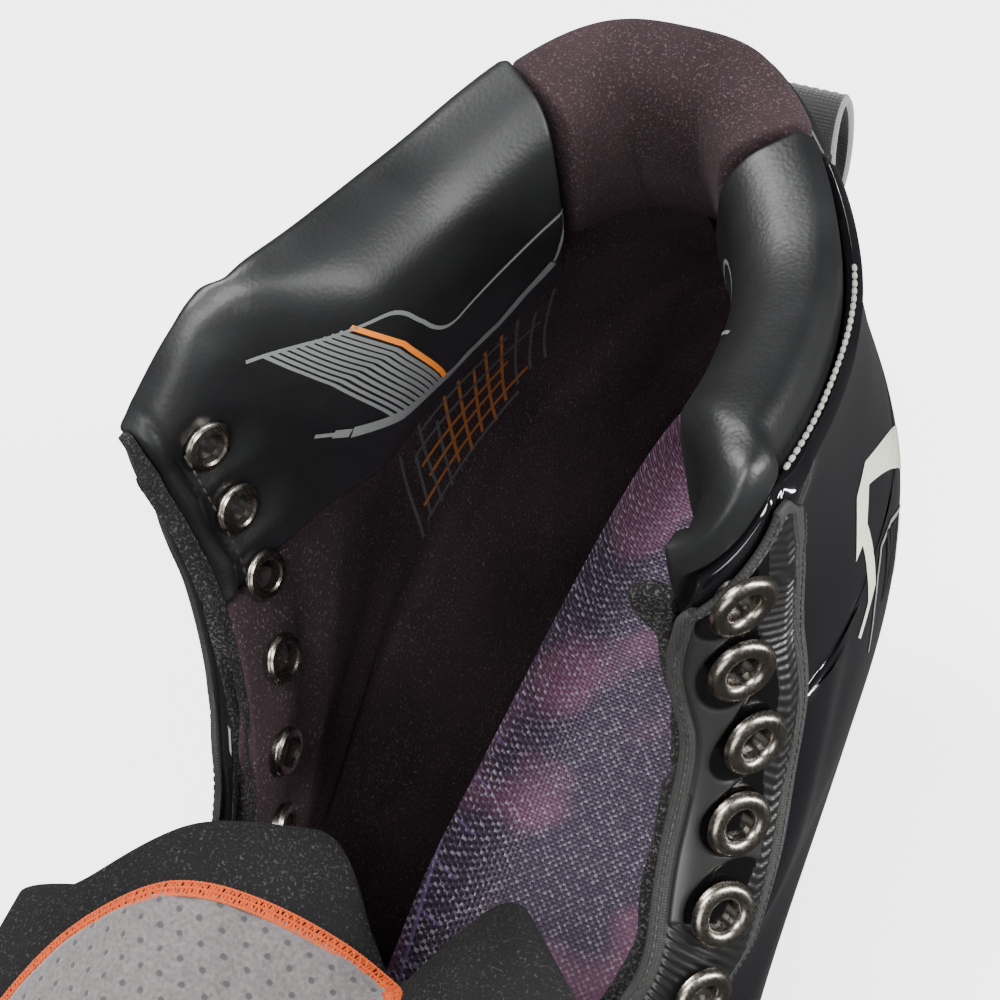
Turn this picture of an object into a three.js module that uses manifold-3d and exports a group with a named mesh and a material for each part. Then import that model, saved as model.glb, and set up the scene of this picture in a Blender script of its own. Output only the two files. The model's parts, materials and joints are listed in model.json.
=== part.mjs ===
// A hockey skate for the left foot: boot, tongue, footbed, holder and runner.
// Millimetres. +Z up, toe towards -Y, heel towards +Y, the outer side of the foot towards +X.
// The origin is where the middle of the runner meets the ice.
import * as THREE from "three";
import { mergeVertices } from "three/addons/utils/BufferGeometryUtils.js";
import Module from "manifold-3d";

const wasm = await Module();
wasm.setup();

// Boot
const bootLength = 288; // toe tip to heel back, outside
const bootWidth = 100; // the width that the last's half widths are graded to
const shaftHeight = 158; // sole line to the top of the padded collar
const soleLine = 64; // ice to the sole line at the toe
const heelRise = 8; // how much higher the sole line is at the heel
const fitGap = 0.4; // between pieces that lie against each other
const shellWall = 2.4;
const liningWall = 2.8; // felt and liner where the eyelets clamp them
const linerWall = 6; // liner over the foot
const padWall = 17; // ankle pads at the collar
const rollWall = 12; // padding of the tendon guard, at the heel's middle
const capWall = 3;
const capLength = 53; // toe tip to the back edge of the toe cap
const facingWall = 1.2;
const facingWidth = 21;
const counterWall = 1.8;
const counterHeight = 50;
const shellTop = (150 / 158) * shaftHeight; // sole line to the top edge of the quarters
const padFoot = (112 / 158) * shaftHeight; // to the foot of the ankle pads and of the tendon guard
const collarLift = 8; // how much higher the collar's front corners stand than its sides
const outsoleThickness = 5;
const boardThickness = 2;
const footbedThickness = 4;
const footbedCup = 15; // how far the footbed's medial edge stands above its middle

// Lacing
const eyeletCount = 11;
const eyeletBore = 5;
const eyeletWall = 0.7;
const flangeWidth = 3;
const flangeThickness = 1.1;
const facingMargin = 10; // eyelet centre to the edge of the facing, along the surface

// Tongue
const tongueThickness = 9;
const tongueWidth = 100;
const tongueReach = 96; // from the fold to the tip
const tongueRoot = 79; // sole line to the height where the tongue starts to fold
const panelThickness = 2.4;
const tongueRootMiddle = -3;
const tongueMiddle = -12; // the loose tongue lies to the inner side of its root
const tongueCrease = 0.14; // where it creases between its two wings, as a share of its half width
const wingRise = 17; // the wings stand over the crease
const wingBulge = 22; // and reach behind it, at the fold
const guardPanelThickness = 1.8;

// Holder and runner
const runnerLength = 280;
const runnerThickness = 3;
const runnerHeight = 27;
const rockerRadius = 3000;
const contactLength = 44; // flat facet in the middle of the rocker
const beamWidth = 10;
const beamFoot = 13; // ice to the underside of the holder
const beamTop = 33;
const towerLength = 78;
const towerTopWidth = 58;
const towerInset = 76; // each tower's middle, measured from the runner's middle
const flangePlate = 3.6;
const boltDiameter = 5;
const boltHeadDiameter = 9;
const boltHeadHeight = 2.6;
const rivetDiameter = 4;
const rivetHead = 8;

// Pull loop
const loopWidth = 17;
const loopThickness = 2;
const loopHeight = 25;
const loopDepth = 13;
const loopOffset = 7; // to the outer side of the heel's middle
const loopTail = 9; // the doubled webbing under the loop, sewn to the shell at its foot
const loopDrop = 32; // foot of the tendon guard to the foot of the tail

// The last: heights above the sole line against front, back and half widths, on a base size.
const baseLength = 288;
const baseWidth = 100;
const baseHeight = 158;
const last = {
  front: [[0, -148], [16, -151], [26, -150.5], [36, -147.5], [42, -143], [48, -134], [52, -124], [56, -108],
    [59.2, -91], [63, -74], [67.5, -58], [73.5, -42], [82, -26], [93, -14], [103, -2], [116, 8], [130, 14],
    [144, 16], [158, 17]],
  back: [[0, 131], [16, 136], [36, 138], [58, 136], [78, 131], [94, 124], [110, 117], [126, 112], [142, 109],
    [158, 110]],
  corner: [[0, 0.8], [52, 0.8], [56, 0.75], [59.2, 0.65], [63, 0.5], [67.5, 0.4], [73.5, 0.3], [82, 0.2],
    [158, 0.2]],
  lateral: {
    fore: [[0, 52], [16, 58], [36, 57], [48, 51], [56, 44], [63, 43.5], [73.5, 47], [82, 50], [103, 48],
      [116, 47], [130, 45], [144, 44], [158, 44]],
    mid: [[0, 40], [16, 45], [36, 47], [64, 49], [86, 50], [104, 49], [126, 44], [144, 41.5], [158, 41]],
    rear: [[0, 33], [16, 38], [36, 42], [64, 42], [86, 40], [104, 37], [126, 34], [144, 33], [158, 34]],
  },
  medial: {
    fore: [[0, 50], [16, 56], [36, 54], [48, 49], [56, 43], [63, 42], [73.5, 43], [82, 41], [93, 40.5],
      [103, 43], [116, 47], [130, 50], [144, 52], [158, 53]],
    mid: [[0, 31], [16, 36], [36, 40], [64, 45], [86, 47], [104, 47], [126, 45], [144, 43], [158, 42]],
    rear: [[0, 32], [16, 36], [36, 39], [64, 40], [86, 39], [104, 37], [126, 35], [144, 34], [158, 35]],
  },
  eyelets: [[144, 20.8], [130, 18], [115.5, 13.7], [103, 5], [92.8, -6.4], [81.5, -17.5], [73.5, -30],
    [67.5, -43.5], [63, -57], [59.2, -71], [56, -85]],
};
const medialLead = 12; // the open medial facing reaches further forward
const medialSplay = 0.42; // and leans outwards in front of its eyelets
const lengthGrade = bootLength / baseLength;
const widthGrade = bootWidth / baseWidth;
const heightGrade = shaftHeight / baseHeight;

const clamp = (value, low, high) => Math.min(high, Math.max(low, value));
const lerp = THREE.MathUtils.lerp;
const ease = (value, from, to) => THREE.MathUtils.smoothstep(value, from, to);

// A smooth curve through [height, value] pairs, read at one height.
function follow(pairs, at) {
  const rising = pairs[0][0] < pairs[pairs.length - 1][0] ? pairs : [...pairs].reverse();
  const height = clamp(at, rising[0][0], rising[rising.length - 1][0]);
  const i = clamp(rising.findIndex((pair) => pair[0] >= height) - 1, 0, rising.length - 2);
  const [h0, v0] = rising[i];
  const [h1, v1] = rising[i + 1];
  const slope = (a, b) => (b[1] - a[1]) / (b[0] - a[0]);
  const straight = slope(rising[i], rising[i + 1]);
  const before = i > 0 ? (slope(rising[i - 1], rising[i]) + straight) / 2 : straight;
  const after = i + 2 < rising.length ? (slope(rising[i + 1], rising[i + 2]) + straight) / 2 : straight;
  const t = (height - h0) / (h1 - h0);
  const span = h1 - h0;
  const bend = t * t * (3 - 2 * t);
  const lead = t * (1 - t) * (1 - t);
  const trail = t * t * (t - 1);
  return v0 + (v1 - v0) * bend + span * (lead * before + trail * after);
}

const isLateral = (turn) => turn < 1;
const eyeletY = (height) => follow(last.eyelets, height / heightGrade) * lengthGrade;

function frontY(lateral, height) {
  const h = height / heightGrade;
  const lead = lateral ? 0 : medialLead * ease(h, 66, 86);
  return (follow(last.front, h) - lead) * lengthGrade;
}

const backY = (height) => follow(last.back, height / heightGrade) * lengthGrade;

// The outer surface. turn runs 0 (front) to 1 (heel) on the lateral side, then to 2 (front) on the medial.
function skin(turn, height) {
  const lateral = isLateral(turn);
  const angle = Math.PI * (lateral ? turn : 2 - turn);
  const h = height / heightGrade;
  const front = frontY(lateral, height);
  const along = (1 - Math.cos(angle)) / 2;
  const y = lerp(front, backY(height), along);
  const side = lateral ? last.lateral : last.medial;
  const [fore, mid, rear] = [side.fore, side.mid, side.rear].map((curve) => follow(curve, h));
  const station = (clamp(along, 0.04, 0.96) - 0.5) / 0.35;
  const half = mid + ((rear - fore) / 2) * station + ((fore + rear) / 2 - mid) * station * station;
  const open = lateral ? 0 : ease(h, 74, 92);
  const sharp = lerp(follow(last.corner, h), 0.13, open);
  const power = lerp(sharp, 0.72, ease(along, 0.3, 0.7));
  const ahead = Math.max(0, eyeletY(height) + 6 - y);
  const splay = (open * medialSplay * ahead * ahead) / (ahead + 6);
  const x = (half * Math.max(Math.sin(angle), 0) ** power + splay) * widthGrade;
  const rise = heelRise * ease(y, -60 * lengthGrade, 60 * lengthGrade) * (1 - ease(h, 20, 110));
  return new THREE.Vector3(lateral ? x : -x, y, soleLine + height + rise);
}

function skinNormal(turn, height) {
  const [dt, dh] = [0.004, 0.6];
  const level = Math.min(height, shaftHeight - dh);
  const around = skin(turn + dt, level).sub(skin(turn - dt, level));
  const up = skin(turn, level + dh).sub(skin(turn, Math.max(level - dh, 0)));
  return around.cross(up).normalize();
}

// A point under the outer surface, at a depth measured square to it.
function wall(turn, height, depth) {
  const t = turn < 0 ? turn + 2 : turn;
  return skin(t, height).addScaledVector(skinNormal(t, height), -depth);
}

// The sole line under a given y.
const floorAt = (y) => soleLine + heelRise * ease(y, -60 * lengthGrade, 60 * lengthGrade);

// Where round the boot a given y lies, 0 to 1, on one side.
function turnAtY(lateral, height, y) {
  const front = frontY(lateral, height);
  const along = clamp((y - front) / (backY(height) - front), 0, 1);
  return Math.acos(1 - 2 * along) / Math.PI;
}

const onSide = (lateral, turn) => (lateral ? turn : 2 - turn);

const walks = new Map();

// Walks forwards or backwards along the surface from the eyelet line.
function turnFromEyelets(lateral, height, distance) {
  const key = [lateral, height.toFixed(3), distance].join();
  if (!walks.has(key)) walks.set(key, walkFromEyelets(lateral, height, distance));
  return walks.get(key);
}

function walkFromEyelets(lateral, height, distance) {
  const step = 0.003 * Math.sign(distance);
  let turn = turnAtY(lateral, height, eyeletY(height));
  let walked = 0;
  let here = skin(onSide(lateral, turn), height);
  while (walked < Math.abs(distance) && turn + step > 0.004) {
    turn += step;
    const next = skin(onSide(lateral, turn), height);
    walked += next.distanceTo(here);
    here = next;
  }
  return turn;
}

const capSeam = frontY(true, 16) + capLength;
const facingFoot = last.eyelets[eyeletCount - 1][0] * heightGrade;
const seamTurn = (lateral, height, gap) => turnAtY(lateral, height, capSeam + gap);

// The front edge of a quarter: the toe cap's seam low down, the facing's edge above it.
function frontEdge(lateral, height, gap) {
  const facing = height > facingFoot - 4 ? turnFromEyelets(lateral, height, -facingMargin) : 0;
  return Math.max(facing, seamTurn(lateral, height, gap));
}

function solid(geometry) {
  const bare = geometry.clone();
  bare.deleteAttribute("normal");
  bare.deleteAttribute("uv");
  const merged = mergeVertices(bare, 1e-3);
  const mesh = new wasm.Mesh({
    numProp: 3,
    vertProperties: merged.attributes.position.array,
    triVerts: new Uint32Array(merged.index.array),
  });
  return new wasm.Manifold(mesh);
}

function fromSolid(made) {
  const mesh = made.getMesh();
  const geometry = new THREE.BufferGeometry();
  geometry.setAttribute("position", new THREE.BufferAttribute(new Float32Array(mesh.vertProperties), 3));
  geometry.setIndex(new THREE.BufferAttribute(new Uint32Array(mesh.triVerts), 1));
  return geometry;
}

const without = (body, tool) => body.subtract(solid(tool));
const cut = (geometry, tools) => fromSolid(tools.reduce(without, solid(geometry)));
const join = (pieces) => fromSolid(pieces.map(solid).reduce((body, piece) => body.add(piece)));

// A closed slab between two faces, each given by place(s, r, face) with s and r from 0 to 1.
function slab(columns, rows, place) {
  const points = [];
  for (const face of [0, 1]) {
    for (let r = 0; r <= rows; r++) {
      for (let s = 0; s <= columns; s++) points.push(...place(s / columns, r / rows, face).toArray());
    }
  }
  const at = (face, s, r) => (face * (rows + 1) + r) * (columns + 1) + s;
  const faces = [];
  const quad = (a, b, c, d) => faces.push(a, b, c, a, c, d);
  for (let r = 0; r < rows; r++) {
    for (let s = 0; s < columns; s++) {
      quad(at(0, s, r), at(0, s + 1, r), at(0, s + 1, r + 1), at(0, s, r + 1));
      quad(at(1, s, r), at(1, s, r + 1), at(1, s + 1, r + 1), at(1, s + 1, r));
    }
    quad(at(0, 0, r), at(0, 0, r + 1), at(1, 0, r + 1), at(1, 0, r));
    quad(at(0, columns, r), at(1, columns, r), at(1, columns, r + 1), at(0, columns, r + 1));
  }
  for (let s = 0; s < columns; s++) {
    quad(at(0, s, 0), at(1, s, 0), at(1, s + 1, 0), at(0, s + 1, 0));
    quad(at(0, s, rows), at(0, s + 1, rows), at(1, s + 1, rows), at(1, s, rows));
  }
  return facingOut(points, faces);
}

// Turns the faces round if they enclose a negative volume.
function facingOut(points, faces) {
  const p = (i) => new THREE.Vector3().fromArray(points, 3 * i);
  let volume = 0;
  for (let i = 0; i < faces.length; i += 3) {
    volume += p(faces[i]).dot(p(faces[i + 1]).cross(p(faces[i + 2])));
  }
  const index = volume > 0 ? faces : [...faces].reverse();
  const geometry = new THREE.BufferGeometry();
  geometry.setAttribute("position", new THREE.Float32BufferAttribute(points, 3));
  geometry.setIndex(index);
  return geometry;
}

const group = new THREE.Group();

function addPiece(name, geometry, colour, roughness, metalness = 0) {
  const material = new THREE.MeshStandardMaterial({ color: colour, roughness, metalness });
  const mesh = new THREE.Mesh(geometry, material);
  mesh.name = name;
  group.add(mesh);
  return mesh;
}

const black = { shell: 0x0b0b0c, felt: 0x1b1b1c, leather: 0x202122, liner: 0x1d161a, plastic: 0x151516 };

// ---- eyelets ----

function eyeletPlaces(lateral) {
  const line = last.eyelets.map(([h, y]) => new THREE.Vector3(0, y * lengthGrade, h * heightGrade));
  const curve = new THREE.CatmullRomCurve3(line, false, "centripetal");
  return Array.from({ length: eyeletCount }, (_, i) => {
    const point = curve.getPointAt(i / (eyeletCount - 1));
    const turn = onSide(lateral, turnAtY(lateral, point.z, point.y));
    return { turn, height: point.z };
  });
}

const eyeletOuter = eyeletBore / 2 + eyeletWall;
const stackTop = facingWall + fitGap; // the facing's outer face, above the shell's skin
const stackFoot = shellWall + fitGap + liningWall; // the lining's inner face, below it

function stand(geometry, turn, height) {
  const t = turn < 0 ? turn + 2 : turn;
  const up = new THREE.Vector3(0, 1, 0);
  const leaning = new THREE.Quaternion().setFromUnitVectors(up, skinNormal(t, height));
  const foot = skin(t, height);
  return geometry.applyQuaternion(leaning).translate(foot.x, foot.y, foot.z);
}

const flangeRadius = eyeletBore / 2 + flangeWidth;
const rollRadius = flangeRadius - 1.2; // the smaller rolled end inside
const flangeStand = 0.9; // the flat flange stands clear of the curved facing
const barrelGap = 0.15; // round the barrel, at the flats of its hole
const holeFacets = 7;

function eyelet(place) {
  const inner = eyeletBore / 2;
  const [top, foot] = [stackTop + flangeStand, -stackFoot - flangeStand];
  const profile = [
    [inner, top + 0.5], [inner, foot - flangeThickness], [rollRadius, foot - 0.6], [eyeletOuter, foot],
    [eyeletOuter, top], [flangeRadius, top], [eyeletOuter + 0.8, top + flangeThickness], [inner, top + 0.5],
  ];
  return stand(turned(profile, 8), place.turn, place.height);
}

// A turned solid about +Y whose profile runs in [radius, height], facing outwards whichever way it runs.
function turned(profile, segments) {
  const lathe = new THREE.LatheGeometry(profile.map(([x, y]) => new THREE.Vector2(x, y)), segments);
  lathe.deleteAttribute("normal");
  lathe.deleteAttribute("uv");
  const merged = mergeVertices(lathe, 1e-3);
  const index = [...merged.index.array];
  const corners = merged.attributes.position;
  const whole = [];
  for (let i = 0; i < index.length; i += 3) {
    const triple = index.slice(i, i + 3);
    if (new Set(triple).size === 3) whole.push(...triple);
  }
  return facingOut([...corners.array], whole);
}

// Clears a hole for each barrel, and a seat wherever the curved surface would meet a flange.
function eyeletHoles(lateral, from, to) {
  const round = (radius) => (radius + barrelGap) / Math.cos(Math.PI / holeFacets);
  const [hole, seat, roll] = [eyeletOuter, flangeRadius, rollRadius].map(round);
  const [top, foot] = [stackTop + flangeStand / 2, -stackFoot - flangeStand / 2];
  const profile = [[0, top + 9], [seat, top + 9], [seat, top], [hole, top], [hole, foot], [roll, foot],
    [roll, foot - 12], [0, foot - 12]];
  return eyeletPlaces(lateral)
    .filter((place) => place.height > from && place.height < to)
    .map((place) => stand(turned(profile, holeFacets), place.turn, place.height));
}

// ---- boot ----

const heelSeam = 0.0035; // half the gap between the two halves at the heel, as a turn
const guardTurn = 0.73; // where the tendon guard and its lining begin, on each side

// Every layer of the boot shares these rows and columns, so that the layers keep their gaps.
const facingRows = 8;
const facingStart = facingFoot - 3;
const rowHeights = [
  0, facingStart * 0.36, facingStart * 0.7,
  ...Array.from({ length: 5 }, (_, i) => lerp(facingStart, padFoot, i / 5)),
  padFoot, lerp(padFoot, shellTop, 0.34), lerp(padFoot, shellTop, 0.67), shellTop, shaftHeight,
];
const padRow = 8;
const topRow = 11;
const rimRow = 12;
const facingColumns = 3;
const guardColumn = 9;
const heelColumn = 13;

function columnTurn(lateral, height, column, gap) {
  const start = frontEdge(lateral, height, gap);
  if (column === 0) return start;
  if (column <= facingColumns) {
    const walked = (facingWidth * column) / facingColumns - facingMargin;
    return Math.max(turnFromEyelets(lateral, height, walked), start + 0.004 * column);
  }
  const facingEnd = columnTurn(lateral, height, facingColumns, gap);
  if (column <= guardColumn) {
    return lerp(facingEnd, guardTurn, (column - facingColumns) / (guardColumn - facingColumns));
  }
  return lerp(guardTurn, 1, (column - guardColumn) / (heelColumn - guardColumn));
}

const halfStations = (lateral, from, to) => {
  const count = Math.abs(to - from) + 1;
  return Array.from({ length: count }, (_, i) => ({ lateral, column: from + i * Math.sign(to - from) }));
};
const wrapStations = (from) => [
  ...halfStations(true, from, heelColumn), ...halfStations(false, heelColumn - 1, from),
];

// A closed layer over some stations and rows. outer and inner give depths; trim pulls its edges in.
function layer(stations, fromRow, toRow, outer, inner, trim) {
  const [columns, rows] = [stations.length - 1, toRow - fromRow];
  return slab(columns, rows, (s, r, face) => {
    const i = Math.round(s * columns);
    const row = Math.round(r * rows);
    const { lateral, column } = stations[i];
    const corner = fromRow + row >= topRow ? collarLift * (1 - ease(column, facingColumns, guardColumn)) : 0;
    const lift = corner + (row === 0 ? (trim.foot ?? 0) : row === rows ? -(trim.top ?? 0) : 0);
    const height = rowHeights[fromRow + row] + lift;
    const plain = columnTurn(lateral, height, column, fitGap);
    const edge = i === 0 ? (trim.first ?? 0) : i === columns ? (trim.last ?? 0) : 0;
    const turn = plain + edge;
    const depth = face ? inner(lateral, turn, height) : outer(lateral, turn, height);
    return wall(onSide(lateral, turn), height, depth);
  });
}

const at = (depth) => () => depth;
const liningTop = shellWall + fitGap;

// The space that the tendon guard and its lining take out of the quarters.
function guardSpace() {
  const trim = { foot: -fitGap / 2, first: -0.002, last: -0.002 };
  return layer(wrapStations(guardColumn), padRow, rimRow, at(-4), at(shellWall + 4), trim);
}

function quarter(lateral) {
  const stations = halfStations(lateral, 0, heelColumn);
  const shape = layer(stations, 0, topRow, at(0), at(shellWall), { last: -heelSeam });
  return cut(shape, [guardSpace(), ...eyeletHoles(lateral, 0, shellTop)]);
}

function facing(lateral) {
  const stations = halfStations(lateral, 0, facingColumns);
  const trim = { top: 1, first: 0.002 };
  const shape = layer(stations, topRow - facingRows, topRow, at(-fitGap - facingWall), at(-fitGap), trim);
  return cut(shape, eyeletHoles(lateral, 0, shellTop));
}

// Thin where the eyelets clamp it, and full behind them.
const clampReach = 2; // how far past the eyelets' rolls the layers stay thin
const fillReach = 20; // and how far past them they are full

function liningDepth(lateral, turn, height, full) {
  const thin = turnFromEyelets(lateral, height, rollRadius + clampReach);
  const thick = turnFromEyelets(lateral, height, rollRadius + fillReach);
  return shellWall + fitGap + lerp(liningWall, full, ease(turn, thin, thick));
}

function liner(lateral) {
  const stations = halfStations(lateral, 0, heelColumn);
  const inner = (side, turn, height) => liningDepth(side, turn, height, linerWall);
  const shape = layer(stations, 0, padRow, at(liningTop), inner, { foot: 4, top: fitGap, first: 0.004,
    last: -heelSeam });
  return cut(shape, eyeletHoles(lateral, 0, padFoot + 6));
}

function anklePad(lateral) {
  const stations = halfStations(lateral, 0, guardColumn);
  const inner = (side, turn, height) => {
    const share = (height - padFoot) / (shaftHeight - padFoot);
    const round = Math.sqrt(Math.max(0, 1 - ((share - 0.55) / 0.62) ** 2));
    return liningDepth(side, turn, height, lerp(linerWall, padWall, round));
  };
  const shape = layer(stations, padRow, rimRow, at(liningTop), inner, { first: 0.004, last: -0.008 });
  return cut(shape, eyeletHoles(lateral, padFoot - 6, shaftHeight));
}

const capTop = 57; // sole line to the top of the cap, on the base size

function capShell(outer, inner, seamGap) {
  const top = capTop * heightGrade;
  return slab(12, 7, (s, r, face) => {
    const height = top * (1 - (1 - r) ** 2);
    const lateral = s <= 0.5;
    const reach = turnAtY(true, height, capSeam - seamGap);
    const turn = reach * Math.abs(1 - 2 * s);
    return wall(onSide(lateral, Math.max(turn, 0.0001)), height, face ? inner : outer);
  });
}

const counterReach = 0.32; // how far round the heel it goes on each side, as a turn
const counterDip = 14; // how much lower its ends are than its middle

function heelCounter() {
  return slab(14, 4, (s, r, face) => {
    const across = 2 * s - 1;
    const height = lerp(2, counterHeight - counterDip * across * across, r);
    return wall(1 + counterReach * across, height, -1.8 * fitGap - (1 - face) * counterWall);
  });
}

const guardTrim = { foot: fitGap, first: 0.004, last: 0.004 };

function guardShell() {
  return layer(wrapStations(guardColumn), padRow, topRow, at(0), at(shellWall), guardTrim);
}

function guardLining() {
  const inner = (side, turn, height) => {
    const share = (height - padFoot) / (shaftHeight - padFoot);
    const full = lerp(rollWall, padWall - 1, ease(1 - turn, 0.05, 1 - guardTurn));
    return lerp(linerWall, full, Math.sqrt(Math.max(0.02, 1 - (2 * share - 1.1) ** 4)));
  };
  return layer(wrapStations(guardColumn), padRow, rimRow, at(liningTop), inner, guardTrim);
}

// A plate on the sole, between two heights over the sole line, inside the wall by a margin.
function solePlate(low, high, margin, from, to) {
  return slab(18, 2, (s, r, face) => {
    const along = lerp(from, to, s);
    const [a, b] = [wall(along, 0, margin), wall(2 - along, 0, margin)];
    const point = a.lerp(b, r);
    point.z = floorAt(point.y) + (face ? low : high);
    return point;
  });
}

const boardLow = fitGap;
const footbedLow = boardLow + boardThickness + fitGap;
const footbedPlay = 2.5; // between its edge and the liner

function footbed() {
  const margin = liningTop + linerWall + footbedPlay;
  return slab(16, 6, (s, r, face) => {
    const along = lerp(0.05, 0.955, s);
    const across = 2 * r - 1;
    const lift = face ? 0 : 4;
    const [a, b] = [wall(along, 6 + lift, margin), wall(2 - along, 6 + lift, margin)];
    const point = a.clone().lerp(b, r);
    const floor = floorAt(point.y) + footbedLow;
    const arch = ease(point.y, -40, 10) * (across > 0 ? footbedCup : footbedCup * 0.55);
    const rim = 3 + arch;
    const rise = rim * Math.abs(across) ** 5;
    point.z = floor + rise + (face ? 0 : footbedThickness);
    return point;
  });
}

// ---- tongue ----

// The part that stays sewn in: it lies under the facings, up to the fold.
const rootClearance = 2.6; // room for the eyelets' rolled ends

function tongueBase() {
  const depth = stackFoot + rootClearance;
  return slab(10, 8, (s, r, face) => {
    const height = lerp(50, tongueRoot - 4, r) * heightGrade;
    const lateral = s <= 0.5;
    const reach = turnFromEyelets(true, height, -1);
    const turn = reach * Math.abs(1 - 2 * s);
    return wall(onSide(lateral, Math.max(turn, 0.0001)), height, depth + face * (tongueThickness - 3));
  });
}

const foldY = frontY(true, tongueRoot * heightGrade) - 4;
const foldZ = soleLine + tongueRoot * heightGrade + 15;

// The folded part: out of the throat, over the fold and forwards above the toe.
const tongueRootShare = 0.4; // of its width, where it comes up between the facings
const tongueAcross = [-1, -0.75, -0.45, -0.15, 0.14, 0.4, 0.68, 1];
const tongueAlong = [0, 0.1, 0.2, 0.34, 0.5, 0.66, 0.82, 0.94, 1];

const foldRise = 8; // from the throat up to the fold's crest
const tipDrop = 20; // how much lower the tip lies

function wingShare(across) {
  const aside = Math.abs(across - tongueCrease);
  return (1 - Math.exp(-((aside / 0.3) ** 2))) * (1 - 0.75 * ease(aside, 0.5, 1.1));
}

function tonguePoint(across, along) {
  const opened = ease(along, 0.02, 0.2);
  const half = (tongueWidth / 2) * (lerp(tongueRootShare, 1, opened) - 0.14 * ease(along, 0.75, 1));
  const x = lerp(tongueRootMiddle, tongueMiddle, opened) + across * half;
  const turnOver = Math.sin(Math.PI * 0.5 * clamp(along / 0.18, 0, 1));
  const bulge = wingBulge * wingShare(across) * ease(along, 0.01, 0.1) * (1 - ease(along, 0.2, 0.6));
  const y = foldY - tongueReach * Math.max(0, along - 0.05) + 3 * (1 - turnOver) + bulge;
  const wing = wingRise * wingShare(across) * opened * (1 - ease(along, 0.5, 1));
  const z = foldZ - foldRise * (1 - turnOver) + wing - tipDrop * ease(along, 0.25, 1.05);
  return new THREE.Vector3(x, y, z);
}

// A layer of the tongue between two heights over its inner face, less some stations at its edges.
function tongueLayer(low, high, side, start, end) {
  const columns = tongueAcross.slice(side, tongueAcross.length - side);
  const rows = tongueAlong.slice(start, tongueAlong.length - end);
  return slab(columns.length - 1, rows.length - 1, (s, r, face) => {
    const across = columns[Math.round(s * (columns.length - 1))];
    const along = rows[Math.round(r * (rows.length - 1))];
    const point = tonguePoint(across, along);
    point.z += face ? low : high;
    return point;
  });
}

// ---- holder and runner ----

// Turns an extruded outline so that it stands in the YZ plane and its thickness runs along X.
function standAlongY(geometry) {
  const [x, y, z] = [new THREE.Vector3(0, 1, 0), new THREE.Vector3(0, 0, 1), new THREE.Vector3(1, 0, 0)];
  return geometry.applyMatrix4(new THREE.Matrix4().makeBasis(x, y, z));
}

function sideProfile(points, width) {
  const shape = new THREE.Shape(points.map(([y, z]) => new THREE.Vector2(y, z)));
  const geometry = new THREE.ExtrudeGeometry(shape, { depth: width, bevelEnabled: false });
  return standAlongY(geometry).translate(-width / 2, 0, 0);
}

function runnerOutline() {
  const half = runnerLength / 2;
  const lift = (y) => Math.max(0, Math.abs(y) - contactLength / 2) ** 2 / (2 * rockerRadius);
  const facet = (0.5 * contactLength) / half;
  const stations = [-0.86, -0.62, -0.4, -facet, facet, 0.4, 0.62, 0.86];
  const foot = stations.map((share) => [share * half, lift(share * half)]);
  const nose = [[-half + 8, 5], [-half, 14], [-half + 1, runnerHeight - 4]];
  const tail = [[half - 2, runnerHeight - 5], [half, 10], [half - 8, 4]];
  const top = [[-half + 10, runnerHeight], [half - 10, runnerHeight]];
  return [...foot, ...tail.reverse(), ...top.reverse(), ...nose.reverse()];
}

const boltPlaces = [-towerInset, towerInset];
const boltZ = runnerHeight - 5;

function crossHole(y, z, diameter, length) {
  const hole = new THREE.CylinderGeometry(diameter / 2, diameter / 2, length, 12);
  return hole.rotateZ(Math.PI / 2).translate(0, y, z);
}

function runner() {
  const holes = boltPlaces.map((y) => crossHole(y, boltZ, boltDiameter + 2 * fitGap, 40));
  return cut(sideProfile(runnerOutline(), runnerThickness), holes);
}

// The underside of the outsole at a station along the boot.
const soleFoot = (y) => floorAt(y) - outsoleThickness;

function tower(middle, flangeZ, flangeLength) {
  const rings = [
    [flangeZ, flangeLength, towerTopWidth], [flangeZ - flangePlate, flangeLength, towerTopWidth],
    [flangeZ - flangePlate - 2, towerLength * 0.92, towerTopWidth * 0.6],
    [lerp(beamTop, flangeZ, 0.42), towerLength * 0.8, beamWidth * 1.9],
    [beamTop, towerLength * 0.95, beamWidth], [beamFoot + 3, towerLength * 1.05, beamWidth * 0.9],
  ];
  const around = 20;
  const points = [];
  for (const [z, length, width] of rings) {
    for (let i = 0; i < around; i++) {
      const angle = (2 * Math.PI * i) / around;
      const round = (value) => Math.sign(value) * Math.abs(value) ** 0.62;
      points.push((width / 2) * round(Math.cos(angle)), middle + (length / 2) * round(Math.sin(angle)), z);
    }
  }
  const faces = [];
  for (let k = 0; k + 1 < rings.length; k++) {
    for (let i = 0; i < around; i++) {
      const [a, b] = [k * around + i, k * around + ((i + 1) % around)];
      faces.push(a, b, b + around, a, b + around, a + around);
    }
  }
  const end = (rings.length - 1) * around;
  for (let i = 1; i + 1 < around; i++) {
    faces.push(0, i + 1, i);
    faces.push(end, end + i, end + i + 1);
  }
  return facingOut(points, faces);
}

const frontFlangeZ = soleFoot(-towerInset - towerLength / 2) - fitGap;
const rearFlangeZ = soleFoot(towerInset - towerLength / 2) - fitGap;

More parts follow.
